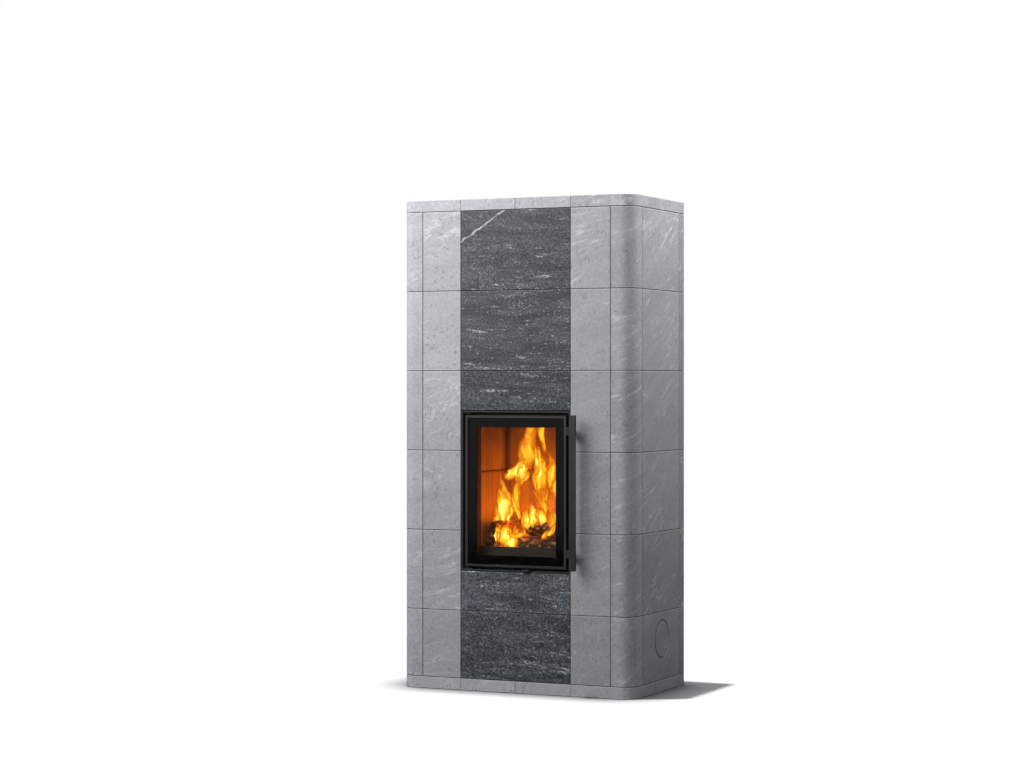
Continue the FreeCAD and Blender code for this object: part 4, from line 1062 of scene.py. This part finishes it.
def studio_floor():
    """A white paper floor: even in the open, and dimmed where the base shuts out the light above it."""
    mesh = bpy.data.meshes.new("floor")
    mesh.from_pydata([(-FLOOR_HALF, -FLOOR_HALF, 0), (FLOOR_HALF, -FLOOR_HALF, 0),
                      (FLOOR_HALF, FLOOR_HALF, 0), (-FLOOR_HALF, FLOOR_HALF, 0)], [], [(0, 1, 2, 3)])
    floor = bpy.data.objects.new("floor", mesh)
    bpy.context.scene.collection.objects.link(floor)
    graph = Graph("studio_floor")
    path = graph.nodes.new("ShaderNodeLightPath")
    grey = graph.mix(path.outputs["Is Glossy Ray"], PAPER_BOUNCE, (0.0, 0.0, 0.0))
    graph.set(Base_Color=grey, Roughness=1.0, Specular_IOR_Level=0.0)
    shelter = graph.nodes.new("ShaderNodeAmbientOcclusion")
    shelter.samples = 24
    shelter.inputs["Distance"].default_value = SHELTER_REACH
    open_share = graph.times(shelter.outputs["AO"], SHELTER_GAIN)
    level = graph.math("SUBTRACT", open_share, SHELTER_GAIN - 1, clamp=True)
    lit = graph.nodes.new("ShaderNodeBsdfDiffuse")
    graph.put(lit.inputs["Color"], graph.shade(PAPER, level))
    shaded = graph.nodes.new("ShaderNodeEmission")
    graph.put(shaded.inputs["Color"], graph.shade((SHADE_LEVEL, SHADE_LEVEL, SHADE_LEVEL * 1.04), level))
    paper = graph.nodes.new("ShaderNodeAddShader")
    graph.put(paper.inputs[0], lit.outputs[0])
    graph.put(paper.inputs[1], shaded.outputs[0])
    choice = graph.nodes.new("ShaderNodeMixShader")
    graph.put(choice.inputs[0], path.outputs["Is Camera Ray"])
    graph.put(choice.inputs[1], graph.shader.outputs[0])
    graph.put(choice.inputs[2], paper.outputs[0])
    graph.put(graph.nodes["Material Output"].inputs["Surface"], choice.outputs[0])
    mesh.materials.append(graph.material)
    return floor


def light_group(name, floor, state):
    """What a lamp shines on: the floor alone, or all but the floor."""
    group = bpy.data.collections.new(name)
    group.objects.link(floor)
    group.collection_objects[0].light_linking.link_state = state
    return group


def lamp(name, kind, place, energy, group, colour=(1.0, 1.0, 1.0), aim=None, size=None):
    """A lamp that the camera doesn't see; size is its width, its radius or the sun's angle."""
    light = bpy.data.lights.new(name, kind)
    light.energy = energy
    light.color = colour
    thing = bpy.data.objects.new(name, light)
    thing.location = place
    if aim is not None:
        thing.rotation_euler = (Vector(aim) - Vector(place)).to_track_quat("-Z", "Y").to_euler()
    if kind == "AREA":
        light.size = size
    elif kind == "SUN":
        light.angle = size
    else:
        light.shadow_soft_size = size
    thing.visible_camera = False
    thing.light_linking.receiver_collection = group
    bpy.context.scene.collection.objects.link(thing)


def studio_air():
    """White backdrop for the camera, grey walls in reflections and hardly any light of its own."""
    world = bpy.data.worlds.new("studio")
    world.use_nodes = True
    tree = world.node_tree
    path = tree.nodes.new("ShaderNodeLightPath")
    colour = tree.nodes["Background"].inputs["Color"]
    levels = {"Is Glossy Ray": 0.25, "Is Camera Ray": 1.0}
    before = None
    for kind, level in levels.items():
        mix = tree.nodes.new("ShaderNodeMix")
        mix.data_type = "RGBA"
        mix.inputs[6].default_value = (0.02, 0.02, 0.02, 1.0)
        mix.inputs[7].default_value = (level, level, level, 1.0)
        tree.links.new(path.outputs[kind], mix.inputs[0])
        if before:
            tree.links.new(before, mix.inputs[6])
        before = mix.outputs[2]
    tree.links.new(before, colour)
    bpy.context.scene.world = world


def camera():
    """The camera that took the photograph, level and turned to the left."""
    data = bpy.data.cameras.new("camera")
    data.lens = CAMERA_LENS
    data.sensor_width = SENSOR_WIDTH
    data.clip_end = 200
    thing = bpy.data.objects.new("camera", data)
    thing.location = CAMERA_PLACE
    thing.rotation_euler = (math.pi / 2, 0, CAMERA_TURN)
    bpy.context.scene.collection.objects.link(thing)
    bpy.context.scene.camera = thing


paper_floor = studio_floor()
floor_alone = light_group("floor_alone", paper_floor, "INCLUDE")
off_floor = light_group("off_floor", paper_floor, "EXCLUDE")
studio_air()
lamp("floor_sun", "SUN", (0, 0, 0), 3.25, floor_alone, aim=SUN_FALL, size=0.025)
lamp("key", "AREA", (-1.5, -2.6, 3.0), 108, off_floor, aim=AIM, size=3.2)
lamp("near_key", "AREA", (-1.2, -1.4, 2.6), 38, off_floor, aim=AIM, size=1.6)
lamp("side_fill", "AREA", (1.5, 0.3, 2.7), 38, off_floor, aim=AIM, size=1.2)
lamp("corner_fill", "AREA", (1.2, -0.4, 2.8), 6, off_floor, aim=AIM, size=1.2)
lamp("rear_fill", "AREA", (-0.6, 3.0, 1.9), 45, off_floor, aim=AIM, size=1.6)
lamp("fire_low", "POINT", (-0.050, -0.085, 0.570), 2.0, off_floor, FIRE_COLOUR, size=0.04)
lamp("fire_middle", "POINT", (0.030, -0.110, 0.640), 1.4, off_floor, FIRE_COLOUR, size=0.05)
lamp("fire_high", "POINT", (-0.055, -0.050, 0.800), 0.65, off_floor, FIRE_COLOUR, size=0.05)
camera()
bpy.context.scene.view_settings.view_transform = "Standard"
